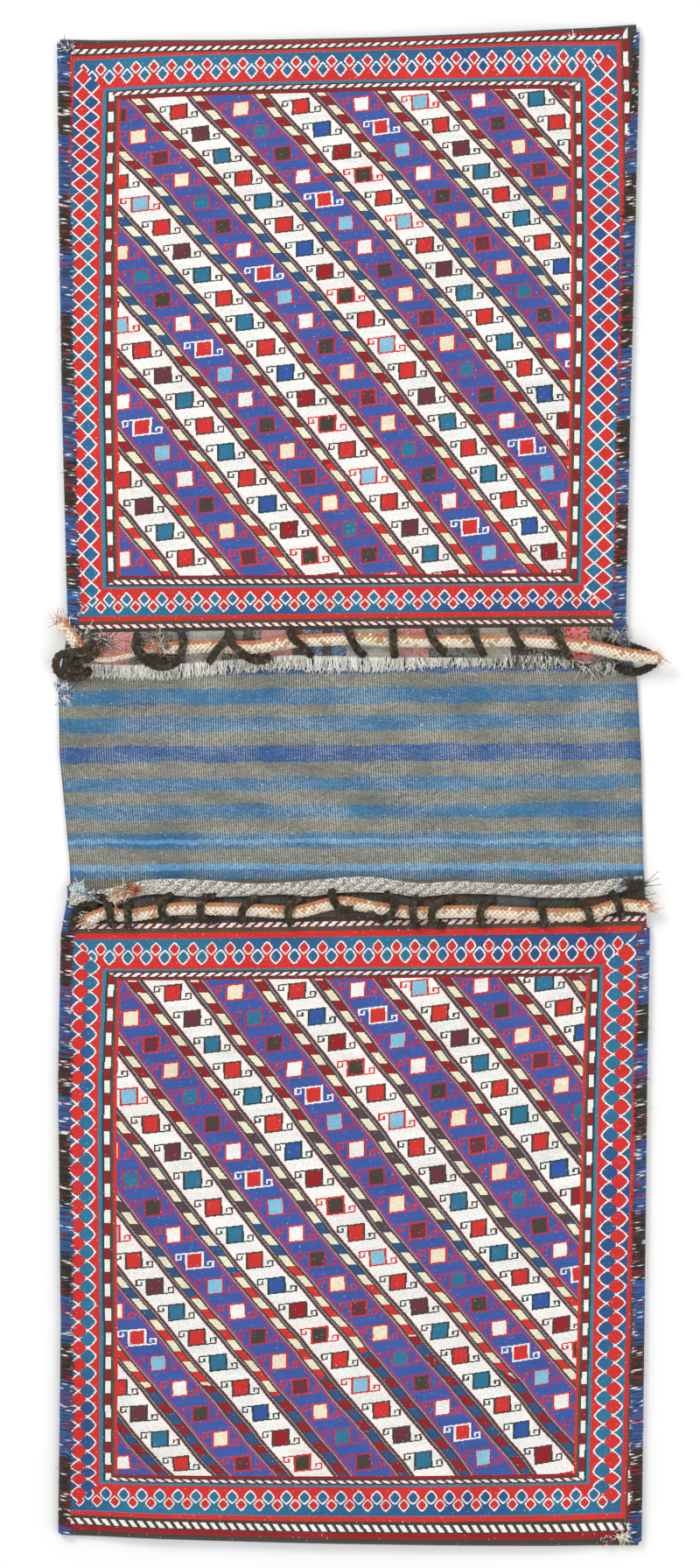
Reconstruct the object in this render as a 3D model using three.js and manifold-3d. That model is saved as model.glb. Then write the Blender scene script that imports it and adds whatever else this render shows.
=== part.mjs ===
// Kilim saddle bag, lying flat with its two pocket faces up.
// Millimetres, +Z up, +Y along the bag's length, +X across it. The origin is on the ground under its middle.
import * as THREE from "three";
import { mergeVertices } from "three/addons/utils/BufferGeometryUtils.js";
import Module from "manifold-3d";

const wasm = await Module();
wasm.setup();

// Driving dimensions.
const bagLength = 1336;
const clothThickness = 3;
const pocketGap = 10; // between the back and the face, in the middle of a pocket
const mouthGap = 6.5; // between the back and the free end of the slit band
const sewnGap = 0.6; // between the back and the face, where the side seam holds them
const seamLift = 1.5; // how far the sewn edges ride up on the yarn wrapped under them
const upperFaceEnd = 144; // where each face's pile of pattern stops and its slit band begins
const lowerFaceEnd = -121;
const upperBandEnd = 112; // the free ends of the two slit bands
const lowerBandEnd = -80;
const hemRadius = 3.2;
const ropeRadius = 5.75;
const loopRadius = 3.5;
const touchGap = 0.35; // left between pieces that touch
const slitEase = 0.9; // a slit is this much wider than its loop on each side
const ropeGap = 1.2; // left under a rope, where the cloth slopes up beside it
const seamWidth = 11;
const seamWrap = 3; // how far the wrapped yarn stands out past the cloth's edge

const foldRadius = pocketGap / 2 + clothThickness;
const faceTop = 2 * clothThickness + pocketGap;
const farEnd = bagLength / 2;

// The cloth's outline, row by row down the bag: [distance along it, left edge, right edge].
const outline = [
  [668, -261.4, 252], [500, -259.5, 248.5], [340, -257, 244], [150, -252, 240], [126, -257, 246],
  [96, -263, 253], [30, -262, 256.5], [-66, -253, 258.5], [-96, -252, 260], [-130, -258, 261.4],
  [-260, -260.5, 259], [-480, -258, 256.5], [-668, -260.4, 254],
];
const leftSide = 1;
const rightSide = 2;

// How far in from each side the cross-section bends. The strip is made a little too wide and cut to its outline.
const bendsFromSide = [-16, 11, 22, 38, 60, 90, 150];

const clamp = (t) => Math.min(1, Math.max(0, t));

const smooth = (t) => clamp(t) ** 2 * (3 - 2 * clamp(t));

function edgeAt(side, y) {
  const passed = outline.findIndex(([along]) => along <= y);
  const next = passed < 0 ? outline.length - 1 : Math.max(1, passed);
  const above = outline[next - 1];
  const below = outline[next];
  return above[side] + ((below[side] - above[side]) * (above[0] - y)) / (above[0] - below[0]);
}

const fromSide = (x, y) => Math.min(x - edgeAt(leftSide, y), edgeAt(rightSide, y) - x);

// 1 inside the pockets, 0 on the bridge between them.
const inPocket = (y) => clamp((y - 96) / 30) + clamp((-66 - y) / 30);

function gapAt(x, y) {
  const towardMouth = y > 0
    ? smooth((y - upperBandEnd) / (upperFaceEnd + 16 - upperBandEnd))
    : smooth((lowerBandEnd - y) / (lowerBandEnd - lowerFaceEnd + 16));
  const middle = mouthGap + (pocketGap - mouthGap) * towardMouth;
  return sewnGap + (middle - sewnGap) * smooth((fromSide(x, y) - 11) / 80);
}

const liftAt = (x, y) => seamLift * inPocket(y) * (1 - smooth((fromSide(x, y) - 11) / 27));

const backTopAt = (x, y) => clothThickness + liftAt(x, y);

const faceTopAt = (x, y) => 2 * clothThickness + gapAt(x, y) + liftAt(x, y);

// Moves a point of the flat, evenly spaced strip to where it lies on the bag.
function settle(z, x, y) {
  const gap = gapAt(x, y);
  const lift = liftAt(x, y);
  if (z <= clothThickness) return z + lift;
  if (z >= clothThickness + pocketGap) return z - pocketGap + gap + lift;
  return clothThickness + ((z - clothThickness) * gap) / pocketGap + lift;
}

// The outline's rows that lie between two distances along the bag, in that order.
function rowsBetween(from, to) {
  const low = Math.min(from, to);
  const high = Math.max(from, to);
  const rows = outline.map(([y]) => y).filter((y) => y > low && y < high);
  return from > to ? rows : rows.reverse();
}

// The strip's long section, drawn with distance along the bag across the page and height up it.
function stripSection() {
  const section = new THREE.Shape();
  const run = (from, to, height) => {
    for (const y of rowsBetween(from, to)) section.lineTo(y, height);
    section.lineTo(to, height);
  };
  const inner = clothThickness + pocketGap;
  const turn = farEnd - foldRadius;
  const middle = foldRadius;
  section.moveTo(upperBandEnd, faceTop);
  section.lineTo(upperBandEnd, inner);
  section.lineTo(upperFaceEnd, inner);
  run(upperFaceEnd, turn, inner);
  section.absarc(turn, middle, pocketGap / 2, Math.PI / 2, -Math.PI / 2, true);
  run(turn, -turn, clothThickness);
  section.absarc(-turn, middle, pocketGap / 2, -Math.PI / 2, Math.PI / 2, true);
  run(-turn, lowerFaceEnd, inner);
  section.lineTo(lowerBandEnd - hemRadius, inner);
  section.absarc(lowerBandEnd, inner + clothThickness / 2, hemRadius, -2.6, 2.6, false);
  section.lineTo(lowerBandEnd - hemRadius, faceTop);
  section.lineTo(lowerFaceEnd, faceTop);
  run(lowerFaceEnd, -turn, faceTop);
  section.absarc(-turn, middle, foldRadius, Math.PI / 2, -Math.PI / 2, false);
  run(-turn, turn, 0);
  section.absarc(turn, middle, foldRadius, -Math.PI / 2, Math.PI / 2, false);
  run(turn, upperFaceEnd, faceTop);
  return section;
}

// Where the cross-section's bend number `station`, counted from the left, lies across the bag.
function acrossTheBag(station, y) {
  const last = bendsFromSide.length * 2 - 1;
  if (station < bendsFromSide.length) return edgeAt(leftSide, y) + bendsFromSide[station];
  return edgeAt(rightSide, y) - bendsFromSide[last - station];
}

function moveVertices(geometry, move) {
  const spots = geometry.attributes.position;
  const spot = new THREE.Vector3();
  for (let i = 0; i < spots.count; i++) {
    spot.fromBufferAttribute(spots, i);
    move(spot);
    spots.setXYZ(i, spot.x, spot.y, spot.z);
  }
  geometry.computeVertexNormals();
  return geometry;
}

function foldedStrip() {
  const steps = bendsFromSide.length * 2 - 1;
  const strip = new THREE.ExtrudeGeometry(stripSection(), {
    depth: steps,
    steps,
    curveSegments: 6,
    bevelEnabled: false,
  });
  // The section's page becomes the bag's length and height, and the extrusion runs across the bag.
  strip.applyMatrix4(new THREE.Matrix4().makeBasis(
    new THREE.Vector3(0, 1, 0),
    new THREE.Vector3(0, 0, 1),
    new THREE.Vector3(1, 0, 0),
  ));
  return moveVertices(strip, (spot) => {
    spot.x = acrossTheBag(Math.round(spot.x), spot.y);
    spot.z = settle(spot.z, spot.x, spot.y);
  });
}

function solidOf(geometry) {
  const bare = geometry.clone();
  bare.deleteAttribute("normal");
  bare.deleteAttribute("uv");
  const merged = mergeVertices(bare, 1e-3);
  return new wasm.Manifold(new wasm.Mesh({
    numProp: 3,
    vertProperties: merged.attributes.position.array,
    triVerts: new Uint32Array(merged.index.array),
  }));
}

function geometryOf(solid) {
  const mesh = solid.getMesh();
  const geometry = new THREE.BufferGeometry();
  geometry.setAttribute("position", new THREE.BufferAttribute(mesh.vertProperties, 3));
  geometry.setIndex(new THREE.BufferAttribute(mesh.triVerts, 1));
  geometry.computeVertexNormals();
  return geometry;
}

// The upright block whose walls are the bag's outline.
function outlineBlock() {
  const plan = new THREE.Shape();
  plan.setFromPoints([
    ...outline.map(([y, left]) => new THREE.Vector2(left, y)),
    ...outline.map(([y, , right]) => new THREE.Vector2(right, y)).reverse(),
  ]);
  const block = new THREE.ExtrudeGeometry(plan, { depth: 2 * faceTop, bevelEnabled: false });
  block.translate(0, 0, -faceTop / 2);
  return block;
}

// One woven slit, as the upright block of air that both legs of a loop come up through.
function slitBlock([ax, ay], [bx, by]) {
  const halfWidth = loopRadius + slitEase;
  const turn = Math.atan2(by - ay, bx - ax);
  const length = Math.hypot(bx - ax, by - ay);
  const slot = new THREE.Shape();
  slot.absarc(0, 0, halfWidth, Math.PI / 2, (3 * Math.PI) / 2, false);
  slot.absarc(length, 0, halfWidth, -Math.PI / 2, Math.PI / 2, false);
  const ground = backTopAt((ax + bx) / 2, (ay + by) / 2) + sewnGap / 2;
  const block = new THREE.ExtrudeGeometry(slot, { depth: faceTop, curveSegments: 2, bevelEnabled: false });
  block.rotateZ(turn);
  block.translate(ax, ay, ground);
  return block;
}

// Loops of the two closures: where each comes up out of its slit, and where it goes back down.
const upperLoops = [
  [[-111, 138], [-125, 114.5]],
  [[-100, 135.5], [-74, 116]],
  [[-59, 145], [-39, 118]],
  [[-7, 146], [9, 121]],
  [[33.5, 145], [39, 118]],
  [[67, 143], [81, 119]],
  [[104, 143.5], [115.5, 119]],
  [[138, 145], [155, 118.5]],
  [[182.5, 143], [191, 115]],
];
const lowerLoops = [
  [[-243.5, -124.5], [-234, -103]],
  [[-225, -96], [-215.5, -122.5]],
  [[-200.5, -101], [-200.5, -124]],
  [[-158, -95], [-158, -118]],
  [[-120.5, -95], [-120.5, -118]],
  [[-82, -96.5], [-99, -118.5]],
  [[-44.5, -96.5], [-57, -121.5]],
  [[-18, -90], [-5, -112]],
  [[28, -94], [21, -119]],
  [[57.5, -96.5], [56, -124]],
  [[90, -96], [79, -122]],
  [[126, -96.5], [117, -122]],
  [[161, -99.5], [169, -123]],
  [[200.5, -99.5], [211.5, -122.5]],
  [[229, -90], [237.5, -118]],
];

const loopMiddle = ([ax, ay], [bx, by]) => [(ax + bx) / 2, (ay + by) / 2];

const ropeHeight = (x, y) => faceTopAt(x, y) + ropeRadius + ropeGap;

// A tube with flat ends along a smooth curve.
function tubeAlong(points, radius, sides, steps, closed = false) {
  const curve = new THREE.CatmullRomCurve3(points, closed, "centripetal");
  const ring = new THREE.Shape();
  ring.absarc(0, 0, radius, 0, 2 * Math.PI, false);
  return new THREE.ExtrudeGeometry(ring, { steps, extrudePath: curve, curveSegments: sides / 2 });
}

// A plaited loop: up out of the slit, over the rope in half an ellipse, and down again to the back.
function hoop(from, to) {
  const [mx, my] = loopMiddle(from, to);
  const half = new THREE.Vector2(from[0] - mx, from[1] - my);
  const rise = ropeRadius + loopRadius + 1.5;
  const ropeZ = ropeHeight(mx, my);
  const foot = backTopAt(mx, my) + touchGap;
  const points = [new THREE.Vector3(from[0], from[1], foot)];
  for (let k = 0; k <= 4; k++) {
    const angle = (Math.PI * k) / 4;
    points.push(new THREE.Vector3(
      mx + half.x * Math.cos(angle),
      my + half.y * Math.cos(angle),
      ropeZ + rise * Math.sin(angle),
    ));
  }
  points.push(new THREE.Vector3(to[0], to[1], foot));
  return tubeAlong(points, loopRadius, 8, 9);
}

// A slack loop, lying as a ring on the cloth.
function slackLoop(x, y, width, depth, turn, height) {
  const points = [];
  for (let k = 0; k < 10; k++) {
    const angle = (2 * Math.PI * k) / 10;
    const across = (width / 2) * Math.cos(angle);
    const along = (depth / 2) * Math.sin(angle);
    points.push(new THREE.Vector3(
      x + across * Math.cos(turn) - along * Math.sin(turn),
      y + across * Math.sin(turn) + along * Math.cos(turn),
      height,
    ));
  }
  return tubeAlong(points, loopRadius, 8, 16, true);
}

// The two lacing ropes' routes: [x, y, height above where a rope lies on the cloth].
const upperRopeRoute = [
  [-259, 146, 3], [-250, 135, 7], [-240, 122, 10], [-226, 115.5, 10], [-208, 117, 3], [-187, 122.5, 0],
  [-160, 125, 0], [-118, 126.3, 0], [-87, 125.8, 0], [-49, 131, 0], [1, 133, 0], [36, 131.5, 0],
  [74, 131, 0], [110, 131, 0], [146.5, 131.8, 0], [187, 129, 0], [212, 125.5, 5], [224, 123, 8],
  [236, 120, 10], [254, 117.5, 10], [269, 116, 9],
];
const lowerRopeRoute = [
  [-237, -117, 0], [-220, -110, 0], [-200.5, -112.5, 0], [-158, -106.5, 0], [-120.5, -106.5, 0],
  [-90.5, -107.5, 0], [-51, -109, 0], [-12, -101, 0], [24.5, -106.5, 0], [57, -110, 0], [84.5, -109, 0],
  [121.5, -109.3, 0], [165, -111.3, 0], [206, -111, 0], [233, -104, 0], [250, -103.5, 0], [262, -105, 0],
];

function lacingRope(route, steps) {
  const points = route.map(([x, y, above]) => new THREE.Vector3(x, y, ropeHeight(x, y) + above));
  return tubeAlong(points, ropeRadius, 10, steps);
}

// Overcast side seam: yarn wrapped round the two edges. Its section is open on the side where the edges enter.
function sideSeam(side, from, to) {
  const rows = [from, ...rowsBetween(from, to), to];
  const bottomWall = seamLift - touchGap;
  const held = seamLift + 2 * clothThickness + sewnGap + touchGap;
  const top = held + bottomWall;
  const section = new THREE.Shape();
  section.moveTo(seamWidth - seamWrap, 0);
  section.lineTo(seamWidth - seamWrap, bottomWall);
  section.lineTo(-touchGap, bottomWall);
  section.lineTo(-touchGap, held);
  section.lineTo(seamWidth - seamWrap, held);
  section.lineTo(seamWidth - seamWrap, top);
  section.lineTo(0, top);
  section.quadraticCurveTo(-seamWrap, top, -seamWrap, top / 2);
  section.quadraticCurveTo(-seamWrap, 0, 0, 0);
  const steps = rows.length - 1;
  const seam = new THREE.ExtrudeGeometry(section, { depth: steps, steps, curveSegments: 4, bevelEnabled: false });
  // Stands the section upright, facing along the bag, and mirrors it for the bag's right side.
  seam.applyMatrix4(new THREE.Matrix4().makeBasis(
    new THREE.Vector3(1, 0, 0),
    new THREE.Vector3(0, 0, 1),
    new THREE.Vector3(0, -1, 0),
  ));
  seam.translate(0, steps, 0);
  if (side === rightSide) seam.rotateZ(Math.PI).translate(0, steps, 0);
  return moveVertices(seam, (spot) => {
    spot.y = rows[Math.round(spot.y)];
    spot.x += edgeAt(side, spot.y);
  });
}

const bag = new THREE.Group();

function addPiece(name, geometry, color, roughness) {
  const mesh = new THREE.Mesh(geometry, new THREE.MeshStandardMaterial({ color, roughness, metalness: 0 }));
  mesh.name = name;
  bag.add(mesh);
}

function addCloth() {
  let cloth = solidOf(foldedStrip()).intersect(solidOf(outlineBlock()));
  for (const [from, to] of [...upperLoops, ...lowerLoops]) {
    cloth = cloth.subtract(solidOf(slitBlock(from, to)));
  }
  addPiece("woven_cloth", geometryOf(cloth), 0x4a6fa5, 0.95);
}

function addSeams() {
  const seams = [
    ["seam_upper_left", leftSide, upperFaceEnd - 8, farEnd - 3],
    ["seam_upper_right", rightSide, upperFaceEnd - 2, farEnd - 3],
    ["seam_lower_left", leftSide, -farEnd + 3, -96],
    ["seam_lower_right", rightSide, -farEnd + 3, lowerFaceEnd - 4],
  ];
  for (const [name, side, from, to] of seams) {
    addPiece(name, sideSeam(side, from, to), 0x2d4f93, 0.9);
  }
}

function addLoops() {
  const place = (part, loops) => loops.forEach(([from, to], k) => {
    addPiece(`loop_${part}_${String(k + 1).padStart(2, "0")}`, hoop(from, to), 0x3c342c, 0.9);
  });
  place("upper", upperLoops);
  place("lower", lowerLoops);
  const onFace = (x, y) => faceTopAt(x, y) + loopRadius + touchGap;
  addPiece("slack_loop_upper_left", slackLoop(-244, 116, 32, 22, 0.1, onFace(-228, 121)), 0x3c342c, 0.9);
  addPiece("slack_loop_upper_second", slackLoop(-174, 123, 34, 24, 0, onFace(-160, 133) + 14), 0x3c342c, 0.9);
  addPiece("slack_loop_upper_right", slackLoop(246, 116, 30, 20, -0.15, onFace(232, 121)), 0x3c342c, 0.9);
}

function addRopes() {
  addPiece("lacing_rope_upper", lacingRope(upperRopeRoute, 24), 0xe3c9a6, 0.9);
  addPiece("lacing_rope_lower", lacingRope(lowerRopeRoute, 22), 0xe3c9a6, 0.9);
}

addCloth();
addSeams();
addLoops();
addRopes();

export default bag;
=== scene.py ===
# Kilim saddle bag, lying flat: cloth, side seams, plaited loops and the two lacing ropes.
import math

import bpy
import numpy as np
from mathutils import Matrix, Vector


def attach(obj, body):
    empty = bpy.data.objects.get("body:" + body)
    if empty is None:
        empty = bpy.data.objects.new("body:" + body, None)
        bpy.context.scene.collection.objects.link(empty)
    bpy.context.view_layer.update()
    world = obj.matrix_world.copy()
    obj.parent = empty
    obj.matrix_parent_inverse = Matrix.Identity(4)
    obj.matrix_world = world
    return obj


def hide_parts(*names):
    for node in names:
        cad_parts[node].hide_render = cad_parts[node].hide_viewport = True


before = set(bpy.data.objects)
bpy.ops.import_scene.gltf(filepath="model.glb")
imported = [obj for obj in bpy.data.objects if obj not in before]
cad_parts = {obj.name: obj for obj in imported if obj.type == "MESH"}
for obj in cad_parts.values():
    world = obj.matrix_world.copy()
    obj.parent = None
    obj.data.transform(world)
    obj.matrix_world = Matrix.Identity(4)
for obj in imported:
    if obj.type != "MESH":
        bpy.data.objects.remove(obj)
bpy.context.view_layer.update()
mm = 0.001
leftSide, rightSide = 1, 2


studio = {
    "cameraAt": (-3.1, 4.3, 3885), "lens": 100, "sensor": 36,
    "floor": (0.93, 0.93, 0.925), "worldStrength": 0.74, "keyPower": 34, "fillPower": 20,
}


def setTheStudio():
    scene = bpy.context.scene
    scene.view_settings.view_transform = "Standard"
    camera = bpy.data.objects.new("camera", bpy.data.cameras.new("camera"))
    camera.data.lens = studio["lens"]
    camera.data.sensor_width = studio["sensor"]
    camera.location = Vector(studio["cameraAt"]) * mm
    scene.collection.objects.link(camera)
    scene.camera = camera
    world = bpy.data.worlds.new("studioWorld")
    world.use_nodes = True
    world.node_tree.nodes["Background"].inputs[0].default_value = (1, 1, 1, 1)
    world.node_tree.nodes["Background"].inputs[1].default_value = studio["worldStrength"]
    scene.world = world
    for name, place, size, power in (
        ("keyLight", (-1.3, 1.5, 2.3), 1.1, studio["keyPower"]),
        ("fillLight", (1.7, -1.0, 2.2), 2.2, studio["fillPower"]),
    ):
        light = bpy.data.lights.new(name, "AREA")
        light.energy = power
        light.size = size
        lamp = bpy.data.objects.new(name, light)
        lamp.location = place
        lamp.rotation_euler = (-Vector(place)).to_track_quat("-Z", "Y").to_euler()
        scene.collection.objects.link(lamp)
    plane = bpy.data.meshes.new("studioFloor")
    reach = 6
    corners = [(-reach, -reach, 0), (reach, -reach, 0), (reach, reach, 0), (-reach, reach, 0)]
    plane.from_pydata(corners, [], [(0, 1, 2, 3)])
    paint = bpy.data.materials.new("studioFloor")
    paint.use_nodes = True
    paint.node_tree.nodes["Principled BSDF"].inputs["Base Color"].default_value = (*studio["floor"], 1)
    paint.node_tree.nodes["Principled BSDF"].inputs["Roughness"].default_value = 0.9
    plane.materials.append(paint)
    floor = bpy.data.objects.new("studioFloor", plane)
    scene.collection.objects.link(floor)


setTheStudio()
print("studio ready")


bag = {
    "length": 1336, "thickness": 3, "pocketGap": 10, "mouthGap": 6.5, "sewnGap": 0.6, "seamLift": 1.5,
    "upperFaceEnd": 144, "lowerFaceEnd": -121, "upperBandEnd": 112, "lowerBandEnd": -80,
    "ropeRadius": 5.75, "loopRadius": 3.5, "ropeGap": 1.2, "touchGap": 0.35,
}
outline = [
    (668, -261.4, 252), (500, -259.5, 248.5), (340, -257, 244), (150, -252, 240), (126, -257, 246),
    (96, -263, 253), (30, -262, 256.5), (-66, -253, 258.5), (-96, -252, 260), (-130, -258, 261.4),
    (-260, -260.5, 259), (-480, -258, 256.5), (-668, -260.4, 254),
]


def smooth(t):
    t = np.clip(t, 0, 1)
    return t * t * (3 - 2 * t)


def edgeAt(side, y):
    rows = outline[::-1]
    return np.interp(y, [row[0] for row in rows], [row[side] for row in rows])


def fromSide(x, y):
    return np.minimum(x - edgeAt(leftSide, y), edgeAt(rightSide, y) - x)


def inPocket(y):
    return np.clip((y - 96) / 30, 0, 1) + np.clip((-66 - y) / 30, 0, 1)


def gapAt(x, y):
    up = smooth((y - bag["upperBandEnd"]) / (bag["upperFaceEnd"] + 16 - bag["upperBandEnd"]))
    down = smooth((bag["lowerBandEnd"] - y) / (bag["lowerBandEnd"] - bag["lowerFaceEnd"] + 16))
    middle = bag["mouthGap"] + (bag["pocketGap"] - bag["mouthGap"]) * np.where(np.asarray(y) > 0, up, down)
    return bag["sewnGap"] + (middle - bag["sewnGap"]) * smooth((fromSide(x, y) - 11) / 80)


def liftAt(x, y):
    return bag["seamLift"] * inPocket(y) * (1 - smooth((fromSide(x, y) - 11) / 27))


def faceTopAt(x, y):
    return 2 * bag["thickness"] + gapAt(x, y) + liftAt(x, y)


def backTopAt(x, y):
    return bag["thickness"] + liftAt(x, y)


def makeObject(name, points, faces, materials, faceMaterial=None, colors=None, uvs=None, shadeSmooth=True):
    mesh = bpy.data.meshes.new(name)
    points = np.asarray(points, float) * mm
    faces = np.asarray(faces, np.int32)
    sides = faces.shape[1]
    mesh.vertices.add(len(points))
    mesh.vertices.foreach_set("co", points.astype(np.float32).ravel())
    mesh.loops.add(faces.size)
    mesh.loops.foreach_set("vertex_index", faces.ravel())
    mesh.polygons.add(len(faces))
    mesh.polygons.foreach_set("loop_start", np.arange(0, faces.size, sides, dtype=np.int32))
    if faceMaterial is not None:
        mesh.polygons.foreach_set("material_index", np.asarray(faceMaterial, np.int32))
    mesh.polygons.foreach_set("use_smooth", np.full(len(faces), shadeSmooth))
    mesh.update(calc_edges=True)
    if colors is not None:
        layer = mesh.color_attributes.new("yarnColour", "FLOAT_COLOR", "POINT")
        rgba = np.concatenate([colors, np.ones((len(colors), 1))], axis=1)
        layer.data.foreach_set("color", rgba.astype(np.float32).ravel())
    if uvs is not None:
        layer = mesh.uv_layers.new(name="clothMap")
        layer.data.foreach_set("uv", np.asarray(uvs, np.float32)[faces.ravel()].ravel())
    mesh.validate()
    piece = bpy.data.objects.new(name, mesh)
    for material in materials:
        mesh.materials.append(material)
    bpy.context.scene.collection.objects.link(piece)
    return piece


def unit(vectors):
    return vectors / np.maximum(np.linalg.norm(vectors, axis=-1, keepdims=True), 1e-9)


# Round yarns along many paths at once: paths is (yarns, points, 3); radius and colour may vary along each.
def yarnTubes(paths, radius, colors, sides=6, aside=(0, 0, 1), closed=False):
    paths = np.asarray(paths, float)
    count, steps = paths.shape[:2]
    if closed:
        tangent = unit(np.roll(paths, -1, axis=1) - np.roll(paths, 1, axis=1))
    else:
        tangent = unit(np.gradient(paths, axis=1))
    across = unit(np.cross(np.broadcast_to(np.asarray(aside, float), tangent.shape), tangent))
    upright = np.cross(tangent, across)
    turn = np.arange(sides) * 2 * np.pi / sides
    radius = np.broadcast_to(radius, (count, steps))
    ring = (across[:, :, None] * np.cos(turn)[:, None] + upright[:, :, None] * np.sin(turn)[:, None])
    points = paths[:, :, None] + ring * radius[:, :, None, None]
    index = np.arange(count * steps * sides).reshape(count, steps, sides)
    here = index if closed else index[:, :-1]
    there = np.roll(index, -1, axis=1) if closed else index[:, 1:]
    side = np.stack([here, np.roll(here, -1, axis=2), np.roll(there, -1, axis=2), there], axis=-1)
    faces = side.reshape(-1, 4)
    if not closed:
        for end, order in ((index[:, 0], 1), (index[:, -1], -1)):
            for k in range(1, sides - 2, 2):
                cap = np.stack([end[:, 0], end[:, k], end[:, k + 1], end[:, (k + 2) % sides]], axis=-1)
                faces = np.concatenate([faces, cap[:, ::-order]])
    tint = np.broadcast_to(np.asarray(colors, float)[..., None, :], (count, steps, sides, 3))
    return points.reshape(-1, 3), faces, tint.reshape(-1, 3)


def joined(parts):
    points, faces, colors = [], [], []
    start = 0
    for somePoints, someFaces, someColors in parts:
        points.append(somePoints)
        faces.append(someFaces + start)
        colors.append(someColors)
        start += len(somePoints)
    return np.concatenate(points), np.concatenate(faces), np.concatenate(colors)


# A smooth line through given points, resampled evenly.
def smoothLine(points, count):
    points = np.asarray(points, float)
    ends = np.concatenate([[2 * points[0] - points[1]], points, [2 * points[-1] - points[-2]]])
    fine = []
    for k in range(1, len(ends) - 2):
        a, b, c, d = ends[k - 1:k + 3]
        t = np.linspace(0, 1, 12, endpoint=False)[:, None]
        fine.append(0.5 * (2 * b + (c - a) * t + (2 * a - 5 * b + 4 * c - d) * t**2
                           + (3 * b - a - 3 * c + d) * t**3))
    fine = np.concatenate(fine + [points[-1:]])
    run = np.concatenate([[0], np.cumsum(np.linalg.norm(np.diff(fine, axis=0), axis=1))])
    at = np.linspace(0, run[-1], count)
    return np.stack([np.interp(at, run, fine[:, k]) for k in range(3)], axis=1), run[-1]


def dye(red, green, blue):
    shares = [v / 255 for v in (red, green, blue)]
    return tuple(v / 12.92 if v <= 0.04 else ((v + 0.055) / 1.055) ** 2.4 for v in shares)


dyes = {
    "red": dye(216, 46, 42), "maroon": dye(154, 22, 32), "teal": dye(42, 118, 154),
    "ivory": dye(248, 246, 241),
    "cream": dye(244, 234, 204), "blue": dye(60, 90, 166), "paleBlue": dye(134, 196, 220),
    "slate": dye(58, 128, 156),
    "darkGreen": dye(40, 66, 62), "darkBrown": dye(70, 62, 52), "magenta": dye(184, 40, 84),
    "plum": dye(106, 48, 58), "violetBlue": dye(48, 86, 162), "barBlue": dye(42, 84, 138),
    "lineGrey": dye(150, 160, 168),
    "bridgeBlue": dye(62, 116, 154), "deepBlue": dye(44, 90, 146), "lightBlue": dye(104, 158, 196),
    "bridgeGrey": dye(126, 126, 116), "warpLight": dye(196, 196, 184), "olive": dye(86, 78, 62),
    "ropeCream": dye(240, 228, 208), "ropeOrange": dye(206, 128, 84), "ropeTan": dye(186, 150, 104),
    "goatHair": dye(58, 50, 40), "goatGrey": dye(92, 84, 70), "hemGrey": dye(176, 174, 160),
    "hemDark": dye(74, 70, 62), "seamBlue": dye(50, 94, 152), "purpleGrey": dye(88, 62, 70),
    # The darker grey of the bridge's last stripe, next to the hem, is the grey yarn with painted shadow of
    # the rolled hem.
    "pink": dye(216, 128, 126), "hemShadedGrey": dye(108, 104, 90),
    "skyGrey": dye(140, 166, 200), "hemIvory": dye(232, 230, 218),
}


# A number or colour on its way through a node tree. Arithmetic on it adds Math nodes.
class Flow:
    def __init__(self, tree, socket):
        self.tree = tree
        self.socket = socket

    def __add__(self, other):
        return maths("ADD", self, other)

    __radd__ = __add__

    def __sub__(self, other):
        return maths("SUBTRACT", self, other)

    def __rsub__(self, other):
        return maths("SUBTRACT", other, self)

    def __mul__(self, other):
        return maths("MULTIPLY", self, other)

    __rmul__ = __mul__

    def __truediv__(self, other):
        return maths("DIVIDE", self, other)


def feed(tree, value, socket):
    if isinstance(value, Flow):
        tree.links.new(value.socket, socket)
    elif isinstance(value, tuple) and len(value) == 3 and socket.type == "RGBA":
        socket.default_value = (*value, 1)
    else:
        socket.default_value = value


def maths(kind, *values):
    tree = next(value.tree for value in values if isinstance(value, Flow))
    node = tree.nodes.new("ShaderNodeMath")
    node.operation = kind
    for value, socket in zip(values, node.inputs):
        feed(tree, value, socket)
    return Flow(tree, node.outputs[0])


def near(value, centre, reach):
    return maths("COMPARE", value, centre, reach)


def between(value, low, high):
    return near(value, (low + high) / 2, (high - low) / 2)


def below(value, limit):
    return maths("LESS_THAN", value, limit)


def above(value, limit):
    return maths("GREATER_THAN", value, limit)


def part(value, size):
    return maths("FRACT", value / size)


def rescaled(value, low, high):
    node = value.tree.nodes.new("ShaderNodeMapRange")
    feed(value.tree, value, node.inputs[0])
    feed(value.tree, low, node.inputs[1])
    feed(value.tree, high, node.inputs[2])
    return Flow(value.tree, node.outputs[0])


def blended(mask, first, second, kind="MIX"):
    tree = next(value.tree for value in (mask, first, second) if isinstance(value, Flow))
    node = tree.nodes.new("ShaderNodeMix")
    node.data_type = "RGBA"
    node.blend_type = kind
    for value, socket in ((mask, node.inputs[0]), (first, node.inputs[6]), (second, node.inputs[7])):
        feed(tree, value, socket)
    return Flow(tree, node.outputs[2])


# Steps of flat colour along a value: stops are (start, dye name).
def striped(value, stops, smoothly=False):
    node = value.tree.nodes.new("ShaderNodeValToRGB")
    ramp = node.color_ramp
    ramp.interpolation = "LINEAR" if smoothly else "CONSTANT"
    ramp.elements.remove(ramp.elements[1])
    ramp.elements[0].position = stops[0][0]
    ramp.elements[0].color = (*dyes[stops[0][1]], 1)
    for start, name in stops[1:]:
        ramp.elements.new(start).color = (*dyes[name], 1)
    feed(value.tree, value, node.inputs[0])
    return Flow(value.tree, node.outputs[0])


def cycled(index, names):
    spot = maths("FLOORED_MODULO", index, len(names)) + 0.5
    return striped(spot / len(names), [(k / len(names), name) for k, name in enumerate(names)])


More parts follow.
